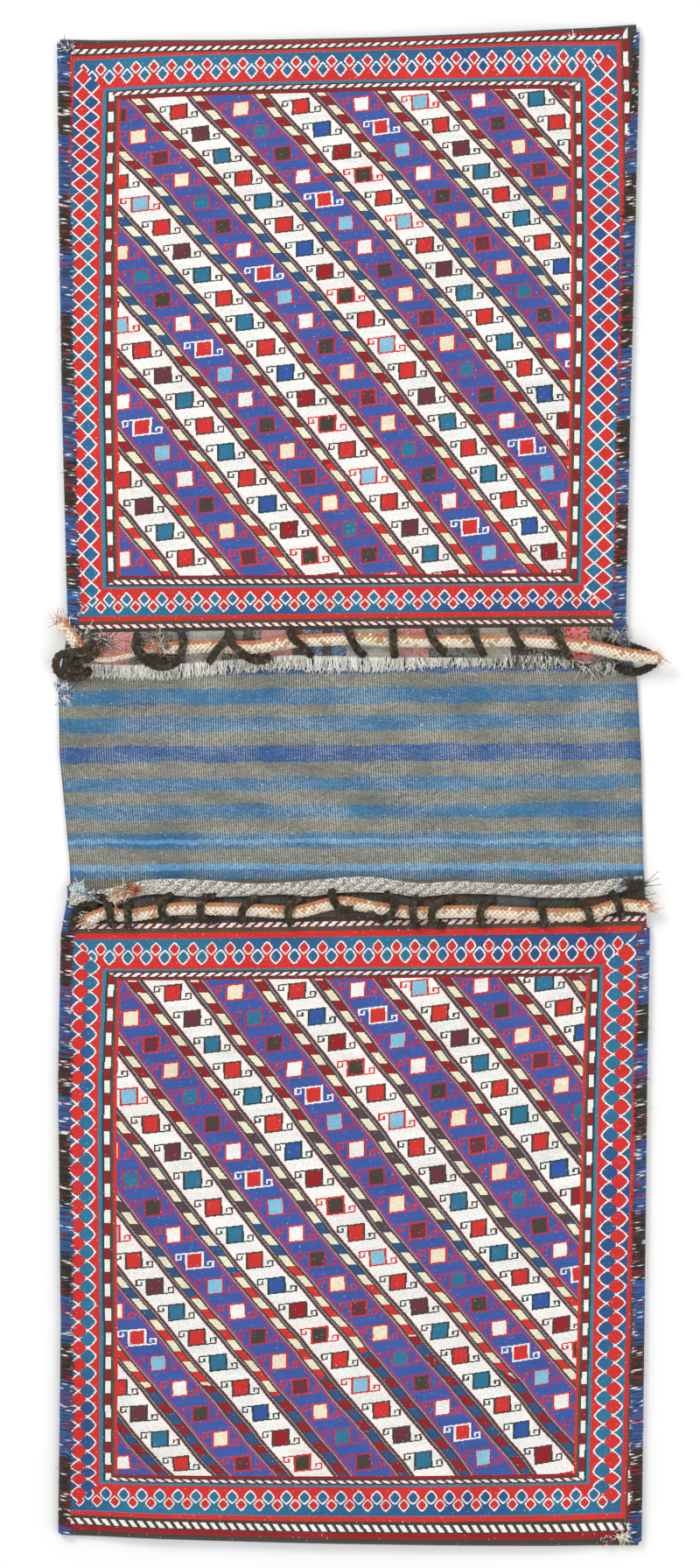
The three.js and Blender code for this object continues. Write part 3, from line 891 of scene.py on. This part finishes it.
def makeRope(name, route, seed):
    points = [(x, y, ropeHeight(x, y) + lifted) for x, y, lifted in route]
    length = smoothLine(points, 50)[1]
    steps = int(length / ropeLooks["stepLength"])
    line, length = smoothLine(points, steps)
    side, up = sideAndUp(line)
    run = np.linspace(0, length, steps)
    random = np.random.default_rng(seed)
    perWay, pitch = ropeLooks["strands"], ropeLooks["pitch"]
    # Where the stained, orange side of the rope shows: it turns slowly round the rope.
    stained = 0.35 + 0.9 * slowNoise(random, steps, 60)
    # The upper rope is worn thin and flat next to its left end.
    along, isUpper = line[:, 0], line[:, 1] > 0
    thin = 1 - 0.45 * smooth((along + 243) / 10) * (1 - smooth((along + 176) / 18)) * isUpper
    strands, tints = [], []
    for k in range(perWay * 2):
        way = 1 if k < perWay else -1
        angle = way * 2 * np.pi * run / pitch + (k % perWay) * 2 * np.pi / perWay
        weave = way * np.cos(2 * perWay * np.pi * run / pitch)
        out = ropeLooks["wander"] + ropeLooks["weaveDepth"] * weave + random.normal(0, 0.08, steps)
        out = out * thin
        strands.append(line + side * (out * np.cos(angle))[:, None] + up * (out * np.sin(angle))[:, None])
        cell = np.floor(run * perWay / pitch).astype(int)
        pick = random.random(cell.max() + 1)[cell]
        orange = (np.cos(angle) > 0.62 - stained * 0.5) & (pick < 0.8)
        tan = (pick > 0.84) | ((np.sin(angle - 0.4) < 0.1) & (pick > 0.6))
        tint = np.where(orange[:, None], dyes["ropeOrange"],
                        np.where(tan[:, None], dyes["ropeTan"], dyes["ropeCream"]))
        # Painted shade: strands are darker where they dip under the others in the braid, with a random tone
        # per cell on top.
        tuckShadeAndTone = np.clip(0.86 + 0.14 * weave, 0, 1) * (1 + 0.2 * (pick - 0.5))
        tints.append(np.clip(tint * tuckShadeAndTone[:, None], 0, 1))
    braid = yarnTubes(np.array(strands), ropeLooks["strandRadius"] * thin, np.array(tints), sides=6)
    # The core, tan darkened to 0.4, shows between the strands as painted shade inside the braid.
    core = yarnTubes(line[None, 1:-1], ropeLooks["coreRadius"] * thin[1:-1],
                     np.array(dyes["ropeTan"]) * 0.4, sides=8)
    rope = makeObject(name.replace("lacing_rope", "braid"), *splitParts([braid, core], [ropeYarn]))
    # Both cut ends are frayed.
    frayed = []
    for end, inner in ((0, 2), (-1, -3)):
        outward = unit(line[end] - line[inner])
        colours = ["ropeCream", "ropeOrange", "ivory"]
        frayed.append(tuft(random, line[end], outward, 60, 5.5, colours, [5, 3, 2], 0.42, 0.5, 0.6, 2.6))
    ends = makeObject(rope.name + "_ends", *splitParts(frayed, [ropeYarn]))
    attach(ends, "root")
    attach(rope, "root")
    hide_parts(name)
    print(name, "is", round(length), "mm long")
    return line


def splitParts(parts, materials):
    points, faces, colors = joined(parts)
    return points, faces, materials, None, colors


# Loose yarn ends that splay out from a point and come to rest on what is below them.
def tuft(random, root, toward, count, length, names, shares, radius=0.45, spread=0.6, floor=0.6, wide=1.6):
    steps = 6
    root = np.asarray(root, float)
    start = root + random.normal(0, wide, (count, 3)) * (1, 1, 0.6)
    heading = unit(np.asarray(toward, float) + random.normal(0, spread, (count, 3)) * (1, 1, 0.35))
    reach = length * random.uniform(0.5, 1.1, (count, 1, 1)) * np.linspace(0, 1, steps)[None, :, None]
    bend = random.normal(0, 0.6, (count, 1, 3)) * (1, 1, 0.2)
    paths = start[:, None] + heading[:, None] * reach + bend * reach**2 / length
    paths[:, :, 2] -= (reach[:, :, 0] / length) ** 2 * 3
    paths[:, :, 2] = np.maximum(paths[:, :, 2], floor)
    tint = mixedTint(random, names, shares, count)[:, None]
    taper = np.linspace(1, 0.45, steps)[None] * radius
    return yarnTubes(paths, taper, np.broadcast_to(tint, (count, steps, 3)), sides=4)


ropeLines = [makeRope("lacing_rope_upper", upperRopeRoute, 11),
             makeRope("lacing_rope_lower", lowerRopeRoute, 12)]


# Woven lines of each face: distance from the fold in the pattern, then where the line lies at the left,
# in the middle and at the right.
upperRows = [
    (0, 666.1, 666.9, 679.4), (16.4, 647.2, 655.2, 662.2), (41, 621.4, 629.5, 631.6),
    (52, 609.9, 619.3, 621.4),
    (153, 523.4, 524.9, 528.8), (264, 415.7, 417.3, 419.6), (352.8, 323.7, 323.7, 323.7),
    (463.8, 203.6, 203.6, 203.6), (476, 189.5, 190.3, 193.4), (487.5, 177.8, 179.4, 181.7),
    (512, 153.3, 156, 159.1), (526, 138.8, 142, 144.3),
]
lowerRows = [
    (0, -663, -670.8, -672.4), (16.4, -640.4, -644.3, -641.9), (41, -617, -620, -617),
    (52, -608.5, -611, -607.5),
    (64.2, -601, -597.5, -591.5), (175, -488.3, -483.6, -477.4), (264, -396.2, -393.9, -390),
    (375, -273.8, -271.4, -267.5), (476, -170.8, -168.5, -165.4), (487.5, -160.7, -159.1, -156.8),
    (512, -134.9, -131.8, -127.9), (526, -116.2, -113.1, -108.4),
]


def faceLine(rows, fromFold, share):
    known = np.array(rows)
    left, middle, right = (np.interp(fromFold, known[:, 0], known[:, k]) for k in (1, 2, 3))
    return (left * (1 - share) * (1 - 2 * share) + middle * 4 * share * (1 - share)
            + right * share * (2 * share - 1))


# Where the upper band's frayed end and the rolled hem's two edges lie, across the bag. Points chosen one by
# one.
bandEndLine = [(-245, 112), (-198, 110), (-136, 112), (-58, 119), (0, 118), (75, 117), (184, 116),
               (231, 112)]
hemTopLine = [
    (-254, -94), (-225, -91), (-190, -82), (-159, -81), (-128, -83), (-89, -86), (-46, -83), (-3, -79),
    (20, -80),
    (52, -86), (87, -83), (122, -85), (168, -87), (192, -86), (223, -82), (246, -79),
]
hemLowLine = [
    (-254, -103), (-225, -101), (-183, -92), (-140, -96), (-89, -94), (-66, -92), (-46, -96), (-25, -92),
    (-3, -91),
    (36, -92), (48, -96), (87, -92), (129, -93), (161, -96), (204, -96), (223, -93), (246, -88),
]


def lineAt(points, x):
    found = np.interp(x, [point[0] for point in points], [point[1] for point in points])
    return (found + np.interp(x - 8, *zip(*points)) + np.interp(x + 8, *zip(*points))) / 3


# The strip as runs of rows: each row is (where it lies along the bag, layer height 0 to 1, extra height,
# map value).
def clothRuns():
    share = np.linspace(0, 1, clothLooks["columns"] + 1)
    guess = -257 + share * 512
    runs = []
    bandEnd = lineAt(bandEndLine, guess)
    top = faceLine(upperRows, 526, share)
    runs.append((3, [(bandEnd + (top - bandEnd) * t, 1, 0, 2000 + 32 * t) for t in np.linspace(0, 1, 6)]))
    reach = clothLooks["foldReach"]
    turns = np.linspace(0, np.pi, clothLooks["foldSteps"])
    for material, rows, way in ((0, upperRows, 1), (1, lowerRows, -1)):
        steps = int((526 - reach) / clothLooks["faceStep"])
        flat = [(faceLine(rows, t, share), 1, 0, t) for t in np.linspace(526, reach, steps)]
        inner, tip = faceLine(rows, reach, share), faceLine(rows, 0, share)
        over = [(inner + (tip - inner) * math.sin(a), (1 + math.cos(a)) / 2, 0, reach * (1 - math.sin(a)))
                for a in turns if a < np.pi / 2 + 0.01]
        under = [(inner + (tip - inner) * math.sin(a), (1 + math.cos(a)) / 2, 0,
                  way * (668 + 10 * (1 - math.sin(a))))
                 for a in turns if a > np.pi / 2 - 0.01]
        if way > 0:
            runs.append((material, flat + over[1:]))
            runs.append((2, under))
            upperInner = inner
        else:
            lowerRuns = [(2, under[::-1]), (material, over[::-1] + flat[::-1][1:])]
            lowerInner = inner
    nominal = np.linspace(660, -660, int(1320 / clothLooks["backStep"]))
    back = [(n + (upperInner - 660) * smooth((n - 480) / 180)
             + (lowerInner + 660) * smooth((-480 - n) / 180), 0, 0, n)
            for n in nominal]
    runs.append((2, back))
    runs += lowerRuns
    bottom = faceLine(lowerRows, 526, share)
    front = lineAt(hemTopLine, guess) - 3.2
    back = lineAt(hemLowLine, guess)
    runs.append((3, [(bottom + (front - bottom) * t, 1, 0, 3000 + 30 * t) for t in np.linspace(0, 1, 6)]))
    rise = clothLooks["hemRise"]
    hem = [(front, 1, 0, 4000)]
    for a in np.linspace(-np.pi / 2, np.pi / 2, 7)[1:]:
        hem.append((front + 3.2 * math.cos(a), 1, rise * (1 + math.sin(a)), 4000 + 3 * (a + np.pi / 2)))
    for t in (0.3, 0.6, 0.85, 1):
        plump = 1.3 * math.sin(math.pi * min(1, t * 0.9))
        hem.append((front + (back - front) * t, 1, rise * 2 - 0.6 * t + plump, 4010 + 12 * t))
    runs.append((4, hem))
    return share, runs


def makeCloth():
    share, runs = clothRuns()
    rows, materialOf, mapStart, mapEnd = [], [], [], []
    for material, run in runs:
        for k, row in enumerate(run):
            if k or not rows:
                rows.append(row)
            if k:
                materialOf.append(material)
                mapStart.append(run[k - 1][3])
                mapEnd.append(row[3])
    along = np.array([np.broadcast_to(row[0], share.shape) for row in rows])
    layer = np.array([row[1] for row in rows])[:, None]
    extra = np.array([row[2] for row in rows])[:, None]
    x = edgeAt(leftSide, along) + share * (edgeAt(rightSide, along) - edgeAt(leftSide, along))
    half = bag["thickness"] / 2
    settled = np.clip(along, -668, 668)
    height = half + liftAt(x, settled) + layer * (gapAt(x, settled) + bag["thickness"]) + extra
    calm = smooth(fromSide(x, along) / 70)
    ripple = (np.sin(x / 47 + 1.3) * np.sin(along / 61) + 0.5 * np.sin(x / 23 + along / 31)
              + 0.4 * np.sin(along / 17 - x / 60))
    height = height + layer * calm * clothLooks["wave"] * ripple
    onBridge = (1 - layer) * smooth((120 - along) / 30) * smooth((along + 90) / 30)
    height = height + onBridge * 0.9 * (1 + np.sin(x / 37 + along / 23) * np.cos(along / 29 - 0.6))
    middle = np.stack([x, along, height], axis=-1)
    lengthwise = unit(np.gradient(middle, axis=0))
    across = unit(np.gradient(middle, axis=1))
    normal = unit(np.cross(across, lengthwise))
    outer, inner = middle + normal * half, middle - normal * half
    count, wide = middle.shape[:2]
    index = np.arange(count * wide).reshape(count, wide)
    inside = index + count * wide
    uAcross = np.broadcast_to(share * clothLooks["flatWidth"], (count, wide))
    start = np.array(mapStart)[:, None] * np.ones(wide - 1)
    end = np.array(mapEnd)[:, None] * np.ones(wide - 1)
    faces, mapped, materials = [], [], []

    def add(corners, us, vs, material):
        faces.append(np.stack(corners, axis=-1).reshape(-1, 4))
        mapped.append(np.stack([np.stack(us, axis=-1), np.stack(vs, axis=-1)], axis=-1).reshape(-1, 4, 2))
        materials.append(np.broadcast_to(material, corners[0].shape).reshape(-1))

    low, high = uAcross[:-1, :-1], uAcross[:-1, 1:]
    outerMaterial = np.array(materialOf)[:, None] * np.ones(wide - 1, int)
    innerMaterial = np.where(outerMaterial < 2, 2, outerMaterial)
    innerStart = np.where(outerMaterial < 2, along[:-1, :-1] + 5000, start)
    innerEnd = np.where(outerMaterial < 2, along[1:, :-1] + 5000, end)
    add((index[:-1, :-1], index[:-1, 1:], index[1:, 1:], index[1:, :-1]), (low, high, high, low),
        (start, start, end, end), outerMaterial)
    add((inside[:-1, :-1], inside[1:, :-1], inside[1:, 1:], inside[:-1, 1:]), (low, low, high, high),
        (innerStart, innerEnd, innerEnd, innerStart), innerMaterial)
    for column, order in ((0, 1), (-1, -1)):
        corners = (index[:-1, column], index[1:, column], inside[1:, column], inside[:-1, column])
        us = [uAcross[:-1, column]] * 4
        vs = [start[:, 0], end[:, 0], end[:, 0], start[:, 0]]
        add(corners[::order], us, vs[::order], outerMaterial[:, 0])
    for line, order, material in ((0, -1, 3), (-1, 1, 4)):
        corners = (index[line, :-1], index[line, 1:], inside[line, 1:], inside[line, :-1])
        us = [uAcross[0, :-1], uAcross[0, 1:], uAcross[0, 1:], uAcross[0, :-1]]
        vs = [np.full(wide - 1, mapStart[0] if line == 0 else mapEnd[-1])] * 4
        add(corners[::-order], us[::-order], vs, np.full(wide - 1, material))
    points = np.concatenate([outer.reshape(-1, 3), inner.reshape(-1, 3)])
    points[:, 2] = np.maximum(points[:, 2], 0.02)
    cloth = makeObject("wovenCloth", points, np.concatenate(faces), clothMaterials,
                       np.concatenate(materials))
    layerMap = cloth.data.uv_layers.new(name="clothMap")
    layerMap.data.foreach_set("uv", (np.concatenate(mapped) * mm).astype(np.float32).ravel())
    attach(cloth, "root")
    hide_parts("woven_cloth")
    return cloth


makeCloth()
print("cloth ready")


seamLooks = {"spacing": 1.05, "radius": 0.74, "slant": 2.2, "bandLengths": (31, 68), "inner": 8.6}


def makeSeam(name, side, low, high, seed, insideAtTop=None):
    random = np.random.default_rng(seed)
    outward = -1 if side == leftSide else 1
    along = np.arange(low, high, seamLooks["spacing"])
    count = len(along)
    top = 2 * bag["thickness"] + bag["sewnGap"] + bag["seamLift"] + 0.75
    section = np.array([(-1, top - 0.8), (-0.62, top), (-0.15, top + 0.1), (0.19, top - 1.4),
                        (0.28, top / 2),
                        (0.19, 1.7), (-0.15, 0.9), (-0.62, 0.86), (-1, 1.2)])
    steps = len(section)
    inner = np.full((count, 1), seamLooks["inner"]) + 0.9 * np.sin(along / 23)[:, None]
    if insideAtTop is not None:
        inner = inner + (insideAtTop - inner) * smooth((along - 560) / 60)[:, None]
    ragged = random.normal(0, 0.9, (count, 1)) * (np.abs(np.linspace(-1, 1, steps)) ** 4)
    out = np.where(section[:, 0] < 0, section[:, 0] * inner, section[:, 0] * seamLooks["inner"]) + ragged
    slant = np.linspace(-1, 1, steps) * (seamLooks["slant"] + random.normal(0, 0.5, (count, 1)))
    y = along[:, None] + slant + random.normal(0, 0.3, (count, 1))
    x = edgeAt(side, np.clip(y, -668, 668)) + outward * out
    onTop = section[:, 1] > 4
    z = np.broadcast_to(section[:, 1], (count, steps)) + random.normal(0, 0.22, (count, 1)) * onTop
    paths = np.stack([x, y, np.maximum(z, 0.86)], axis=-1)
    fromMouth = high - along if high < 0 else along - low
    edges = [0]
    while edges[-1] < high - low:
        edges.append(edges[-1] + random.uniform(*seamLooks["bandLengths"]))
    band = np.searchsorted(edges, fromMouth + random.normal(0, 2, count)) % 2
    tint = np.where(band[:, None] == 1, np.array(dyes["seamBlue"]), np.array(dyes["darkBrown"]) * 0.62)
    tint = tint * random.uniform(0.45, 1.15, (count, 1))
    odd = random.random(count)
    tint[odd > 0.93] = dyes["darkGreen"]
    tint[odd > 0.97] = dyes["maroon"]
    tint = np.repeat(tint[:, None], steps, axis=1)
    tint = tint * random.uniform(0.8, 1.2, (count, steps, 1))
    # Flecks of white and maroon where the edge of the face shows between the stitches.
    flecked = random.random((count, steps)) < np.array([0.16, 0.14, 0.1, 0.08, 0.03, 0, 0, 0, 0])
    fleck = np.where((np.floor(along / 8) % 2 == 0)[:, None], np.array(dyes["maroon"]),
                     np.array(dyes["ivory"]) * 0.9)
    tint = np.where(flecked[..., None], fleck[:, None], tint)
    taper = np.array([0.7, 1, 1, 1, 1, 1, 1, 1, 0.7])
    radius = seamLooks["radius"] * taper * random.uniform(0.85, 1.15, (count, 1))
    tubes = yarnTubes(paths, radius, np.clip(tint, 0, 1), sides=6, aside=(0, 1, 0))
    fuzz = []
    for spot in range(0, count, 14):
        start = paths[spot, 1 + spot % 3]
        toward = (outward * random.uniform(-0.2, 1), random.uniform(-1, 1), 0.2)
        names = ["seamBlue", "hemDark", "ivory"]
        fuzz.append(tuft(random, start, toward, 3, 4.5, names, [3, 4, 1], 0.14, 0.5, 0.3, 0.5))
    seam = makeObject(name.replace("seam", "overcast"), *splitParts([tubes, *fuzz], [seamYarn]))
    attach(seam, "root")
    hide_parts(name)


makeSeam("seam_upper_left", leftSide, 136, 664, 21)
makeSeam("seam_upper_right", rightSide, 142, 674, 22, 2.5)
makeSeam("seam_lower_left", leftSide, -661, -86, 23)
makeSeam("seam_lower_right", rightSide, -669, -125, 24)
print("seams ready")


loopLooks = {
    "swing": 2.1, "weave": 1.05, "strandRadius": 1.8, "pitch": 13, "ropeClear": 8.6, "stepLength": 1.3,
}
# Each loop comes up out of its band, runs over its rope through these places, and goes down again.
upperLoops = [
    [(-109, 137), (-119, 125), (-129, 112)],
    [(-111, 140), (-108, 129), (-101, 122), (-91, 115), (-80, 114), (-73, 118)],
    [(-58, 144), (-53, 133), (-45, 126), (-37, 118)], [(-6, 144), (-2, 133), (4, 123), (10, 118)],
    [(35, 144), (35, 131), (37, 117)], [(66, 143), (71, 131), (81, 120)],
    [(105, 143), (109, 131), (116, 118)],
    [(140, 145), (144, 133), (153, 121)], [(180, 145), (183, 131), (193, 115)],
]
lowerLoops = [
    [(-251, -126), (-247, -110), (-239, -102), (-228, -104)],
    [(-231, -97), (-222, -97), (-217, -107), (-214, -123)],
    [(-202, -99), (-200, -111), (-200, -123)],
    [(-158, -93), (-166, -96), (-170, -105), (-167, -115), (-157, -119)],
    [(-120, -94), (-132, -97), (-136, -106), (-133, -115), (-121, -118)],
    [(-83, -96), (-94, -101), (-99, -110), (-98, -120)], [(-45, -96), (-54, -101), (-58, -110), (-55, -122)],
    [(-20, -88), (-17, -100), (-10, -107), (-1, -107)],
    [(27, -92), (36, -99), (34, -110), (24, -116), (13, -110)],
    [(59, -95), (53, -102), (53, -113), (57, -125)],
    [(90, -96), (76, -101), (69, -110), (72, -119), (81, -122)],
    [(126, -96), (117, -101), (112, -110), (115, -123)], [(161, -99), (167, -108), (170, -123)],
    [(200, -98), (208, -108), (211, -122)], [(228, -90), (235, -102), (239, -117)],
]
# Loops that lie slack on the cloth: one is coiled, one hangs in a bow and one runs round a rope's end.
slackLoops = {
    "slack_loop_upper_left": [
        [(-231, 131, 0), (-238, 123, 3), (-250, 121, 4), (-261, 119, 2), (-265, 111, 0), (-262, 103, 0),
         (-252, 99, 0),
         (-241, 100, 0), (-234, 106, 0)],
        [(-226, 122, 0), (-235, 115, 3), (-246, 113, 4), (-257, 112, 4)],
        [(-257, 107, 1), (-247, 105.5, 2), (-238, 108, 2)],
    ],
    "slack_loop_upper_second": [
        [(-192, 138, 0), (-193, 126, 1), (-187, 116, 1), (-176, 109, 1), (-164, 109, 1), (-155, 115, 1),
         (-151, 126, 1),
         (-152, 138, 0)],
        [(-194, 128, 1), (-187, 119, 3), (-178, 114, 3), (-166, 114, 2)],
    ],
    "slack_loop_upper_right": [
        [(222, 132, 0), (232, 130, 0), (244, 127.5, -4), (256, 124, -9), (266, 119, -9), (269, 113.5, -9),
         (262, 107.5, -9), (252, 104, -6), (242, 105, -1), (234, 109, 0)],
    ],
}

# Lays a loop on the cloth, and up over any rope that it crosses.
def laidOver(line, ropeLines, under=False):
    ground = faceTopAt(line[:, 0], line[:, 1]) + bag["loopRadius"] + bag["touchGap"]
    height = np.maximum(ground + line[:, 2], bag["loopRadius"] + 0.4)
    for rope in [] if under else ropeLines:
        away = np.linalg.norm(line[:, None, :2] - rope[None, :, :2], axis=2)
        nearest = away.argmin(axis=1)
        reach = away.min(axis=1)
        clear = loopLooks["ropeClear"]
        over = rope[nearest, 2] + np.sqrt(np.maximum(clear**2 - reach**2, 0))
        height = np.where(reach < clear, np.maximum(height, over), height)
    for turn in range(3):
        height = np.maximum(height, np.convolve(np.pad(height, 2, "edge"), np.ones(5) / 5, "valid"))
    return np.stack([line[:, 0], line[:, 1], height], axis=1)


def plait(random, line, length, colour="goatHair"):
    steps = len(line)
    side, depth = sideAndUp(line)
    run = np.linspace(0, 2 * np.pi * max(1, round(length / loopLooks["pitch"])), steps)
    strands, tints = [], []
    for k in range(3):
        angle = run + k * 2 * np.pi / 3
        strands.append(line + side * (loopLooks["swing"] * np.sin(angle))[:, None]
                       + depth * (loopLooks["weave"] * np.sin(2 * angle))[:, None])
        shade = (0.7 + 0.6 * random.random()) * (1 + 0.35 * slowNoise(random, steps, 3))
        tint = np.array(dyes[colour]) * shade[:, None]
        tints.append(np.where((random.random(steps) < 0.12)[:, None], np.array(dyes["goatGrey"]), tint))
    return yarnTubes(np.array(strands), loopLooks["strandRadius"], np.clip(np.array(tints), 0, 1), sides=6)


def hairs(random, line, count, length):
    picks = line[random.integers(0, len(line), count)] + random.normal(0, 1.9, (count, 3)) * (1, 1, 0.6)
    parts = []
    for spot in picks:
        toward = random.normal(0, 1, 3) * (1, 1, 0.4)
        parts.append(tuft(random, spot, toward, 1, length, ["goatHair", "goatGrey"], [3, 1], 0.17, 0.2))
    return parts


def makeLoop(name, routes, seed, buried=True, under=False):
    random = np.random.default_rng(seed)
    parts = []
    for route in routes:
        flat = np.array([point if len(point) == 3 else (*point, 0) for point in route], float)
        length = smoothLine(flat, 50)[1]
        line, length = smoothLine(flat, int(length / loopLooks["stepLength"]))
        line = laidOver(line, ropeLines, under)
        if buried:
            # Both ends go down into the band, which is not cut there.
            foot = backTopAt(line[[0, -1], 0], line[[0, -1], 1]) + 2.4
            line = np.concatenate([[(*line[0, :2], foot[0])], line, [(*line[-1, :2], foot[1])]])
        length = smoothLine(line[::3], 50)[1]
        line, length = smoothLine(line[::3], int(length / loopLooks["stepLength"]))
        parts += [plait(random, line, length)] + hairs(random, line[3:-3], int(length / 2.5), 4.5)
    loop = makeObject(name.replace("loop", "plait"), *splitParts(parts, [goatHair]))
    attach(loop, "root")
    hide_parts(name)


for group, loops in (("upper", upperLoops), ("lower", lowerLoops)):
    for k, route in enumerate(loops):
        makeLoop(f"loop_{group}_{k + 1:02d}", [route], 100 + k + 50 * (group == "lower"))
for k, (name, routes) in enumerate(slackLoops.items()):
    makeLoop(name, routes, 200 + k, buried=False, under=name == "slack_loop_upper_right")
print("loops ready")


fringeLooks = {"spacing": 0.5, "radius": (0.4, 0.72), "curl": 0.75, "peppered": 130}
# How far the fringe hangs, across the bag.
fringeLine = [
    (-250, 101), (-206, 99), (-167, 98), (-136, 101), (-108, 104), (-58, 107), (-19, 105), (28, 105),
    (59, 108), (90, 110), (129, 109), (184, 108), (200, 111), (223, 104), (240, 104),
]


def makeFringe():
    random = np.random.default_rng(31)
    x = np.arange(-248, 236, fringeLooks["spacing"])
    x = x + random.normal(0, 0.5, len(x))
    count, steps = len(x), 8
    start = lineAt(bandEndLine, x) + random.uniform(0.5, 2.5, count)
    end = lineAt(fringeLine, x) + random.normal(0, 1.3, count)
    share = np.linspace(0, 1, steps)
    y = start[:, None] + (end - start)[:, None] * share
    sway = np.cumsum(random.normal(0, fringeLooks["curl"], (count, steps)), axis=1)
    xs = x[:, None] + sway * share + random.normal(0, 2.4, (count, 1)) * share**1.5
    y = y + 0.8 * np.sin(share * 5 + random.uniform(0, 6, (count, 1))) * share
    edge = np.full(count, 118.0)
    top = 2 * bag["thickness"] + gapAt(x, edge) + liftAt(x, edge) - 1.4
    ground = 4.4 + random.uniform(0, 2.6, (count, 1))
    z = (ground + (top[:, None] - ground) * (1 - smooth(share * 1.25))
         + 0.9 * np.sin(share * 4) * random.random((count, 1)))
    paths = np.stack([xs, y, z], axis=-1)
    pale = mixedTint(random, ["hemIvory", "ivory", "hemGrey"], [6, 3, 1], count, 0.14)
    peppered = mixedTint(random, ["hemIvory", "hemDark", "hemGrey"], [5, 3, 3], count, 0.2)
    toRight = random.random(count) < smooth((x - fringeLooks["peppered"] + 60) / 90)
    tint = np.where(toRight[:, None], peppered, pale)
    radius = random.uniform(*fringeLooks["radius"], (count, 1)) * np.linspace(1, 0.7, steps)
    parts = [yarnTubes(paths, radius, np.broadcast_to(tint[:, None], (count, steps, 3)), sides=4)]
    fringe = makeObject("warpFringe", *splitParts(parts, [fringeYarn]))
    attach(fringe, "root")


# Worn spots: (place, height, way the ends point, how many, how long, colours).
wornSpots = [
    ((-259, 147), 16, (-0.3, 1, 0), 60, 7, ("ropeCream", "ropeOrange", "ivory")),
    ((-172, 128), 24, (0.3, 0.2, 1), 150, 8, ("olive", "hemIvory", "ropeTan", "olive")),
    ((-179, 126), 26, (-0.2, 0.1, 1), 40, 5, ("red", "ropeOrange")),
    ((-212, -98), 20, (1, 0.3, 0.1), 90, 5, ("ropeOrange", "ropeCream", "ropeCream")),
    ((-204, -94), 20, (0.6, 0.3, 0.1), 90, 5, ("ropeOrange", "ropeCream", "ropeTan")),
    ((-196, -91), 20, (0.4, 0.5, 0.1), 80, 5, ("ropeOrange", "maroon", "ropeOrange")),
    ((-202, -88), 20, (-0.5, 0.5, 0.1), 60, 5, ("olive", "ropeTan", "hemIvory")),
    ((233, 136), 13, (0.5, -1, 0.2), 210, 6, ("hemGrey", "seamBlue", "hemDark", "ivory")),
    ((240, 130), 12, (-0.3, -1, 0.2), 160, 5, ("seamBlue", "darkBrown", "hemGrey")),
    ((204, 110), 9, (1, -0.5, 0), 120, 7, ("hemIvory", "hemDark", "purpleGrey")),
    ((214, 107), 9, (0.6, -0.8, 0), 90, 6, ("hemIvory", "hemDark", "hemGrey")),
    ((-247, -89), 10, (0.8, 0.3, 0.2), 120, 5, ("ivory", "hemIvory", "paleBlue")),
    ((-240, -94), 10, (0.7, -0.4, 0.2), 90, 4, ("ivory", "hemIvory", "seamBlue")),
    ((-258, 90), 4.5, (0.2, 1, 0), 70, 6, ("ivory", "paleBlue", "seamBlue")),
    ((-258, 82), 4.5, (0.1, -1, 0), 70, 6, ("ivory", "hemIvory", "seamBlue")),
    ((240, -664), 10, (0.2, -1, 0), 90, 5, ("ivory", "hemGrey", "cream")),
    ((226, -667), 10, (-0.3, -1, 0), 60, 4, ("ivory", "hemDark", "maroon")),
    ((190, 668), 12, (0.2, 1, 0), 60, 4, ("ivory", "cream", "hemGrey")),
    ((-255, 659), 11, (-0.6, 0.6, 0), 90, 4, ("ivory", "seamBlue", "hemDark")),
    ((251, -88), 13, (0, 0.4, 0.6), 260, 8, ("goatHair", "goatHair", "darkBrown")),
    ((253, -97), 14, (0.2, -0.6, 0.6), 160, 7, ("goatHair", "goatGrey", "darkBrown")),
    ((238, -86), 12, (0.6, 0.4, 0), 60, 8, ("seamBlue", "hemGrey", "violetBlue")),
    ((-232, -97), 12, (-0.6, 0.4, 0), 70, 7, ("seamBlue", "hemGrey", "hemDark")),
    ((-244, 133), 13, (0.4, -0.3, 0.4), 160, 8, ("goatHair", "goatGrey", "ivory")),
    ((-222, 132), 14, (-0.6, -0.2, 0.3), 120, 8, ("goatHair", "goatGrey", "hemIvory")),
]


def makeWornSpots():
    random = np.random.default_rng(41)
    parts = []
    for (x, y), height, toward, count, length, names in wornSpots:
        for sway in (-3, 0, 3):
            parts.append(tuft(random, (x + sway, y, height), toward, count // 3, length, list(names),
                              [1] * len(names), 0.42))
    frays = makeObject("wornEnds", *splitParts(parts, [fringeYarn]))
    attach(frays, "root")


makeFringe()
makeWornSpots()
print("fringe and worn ends ready")
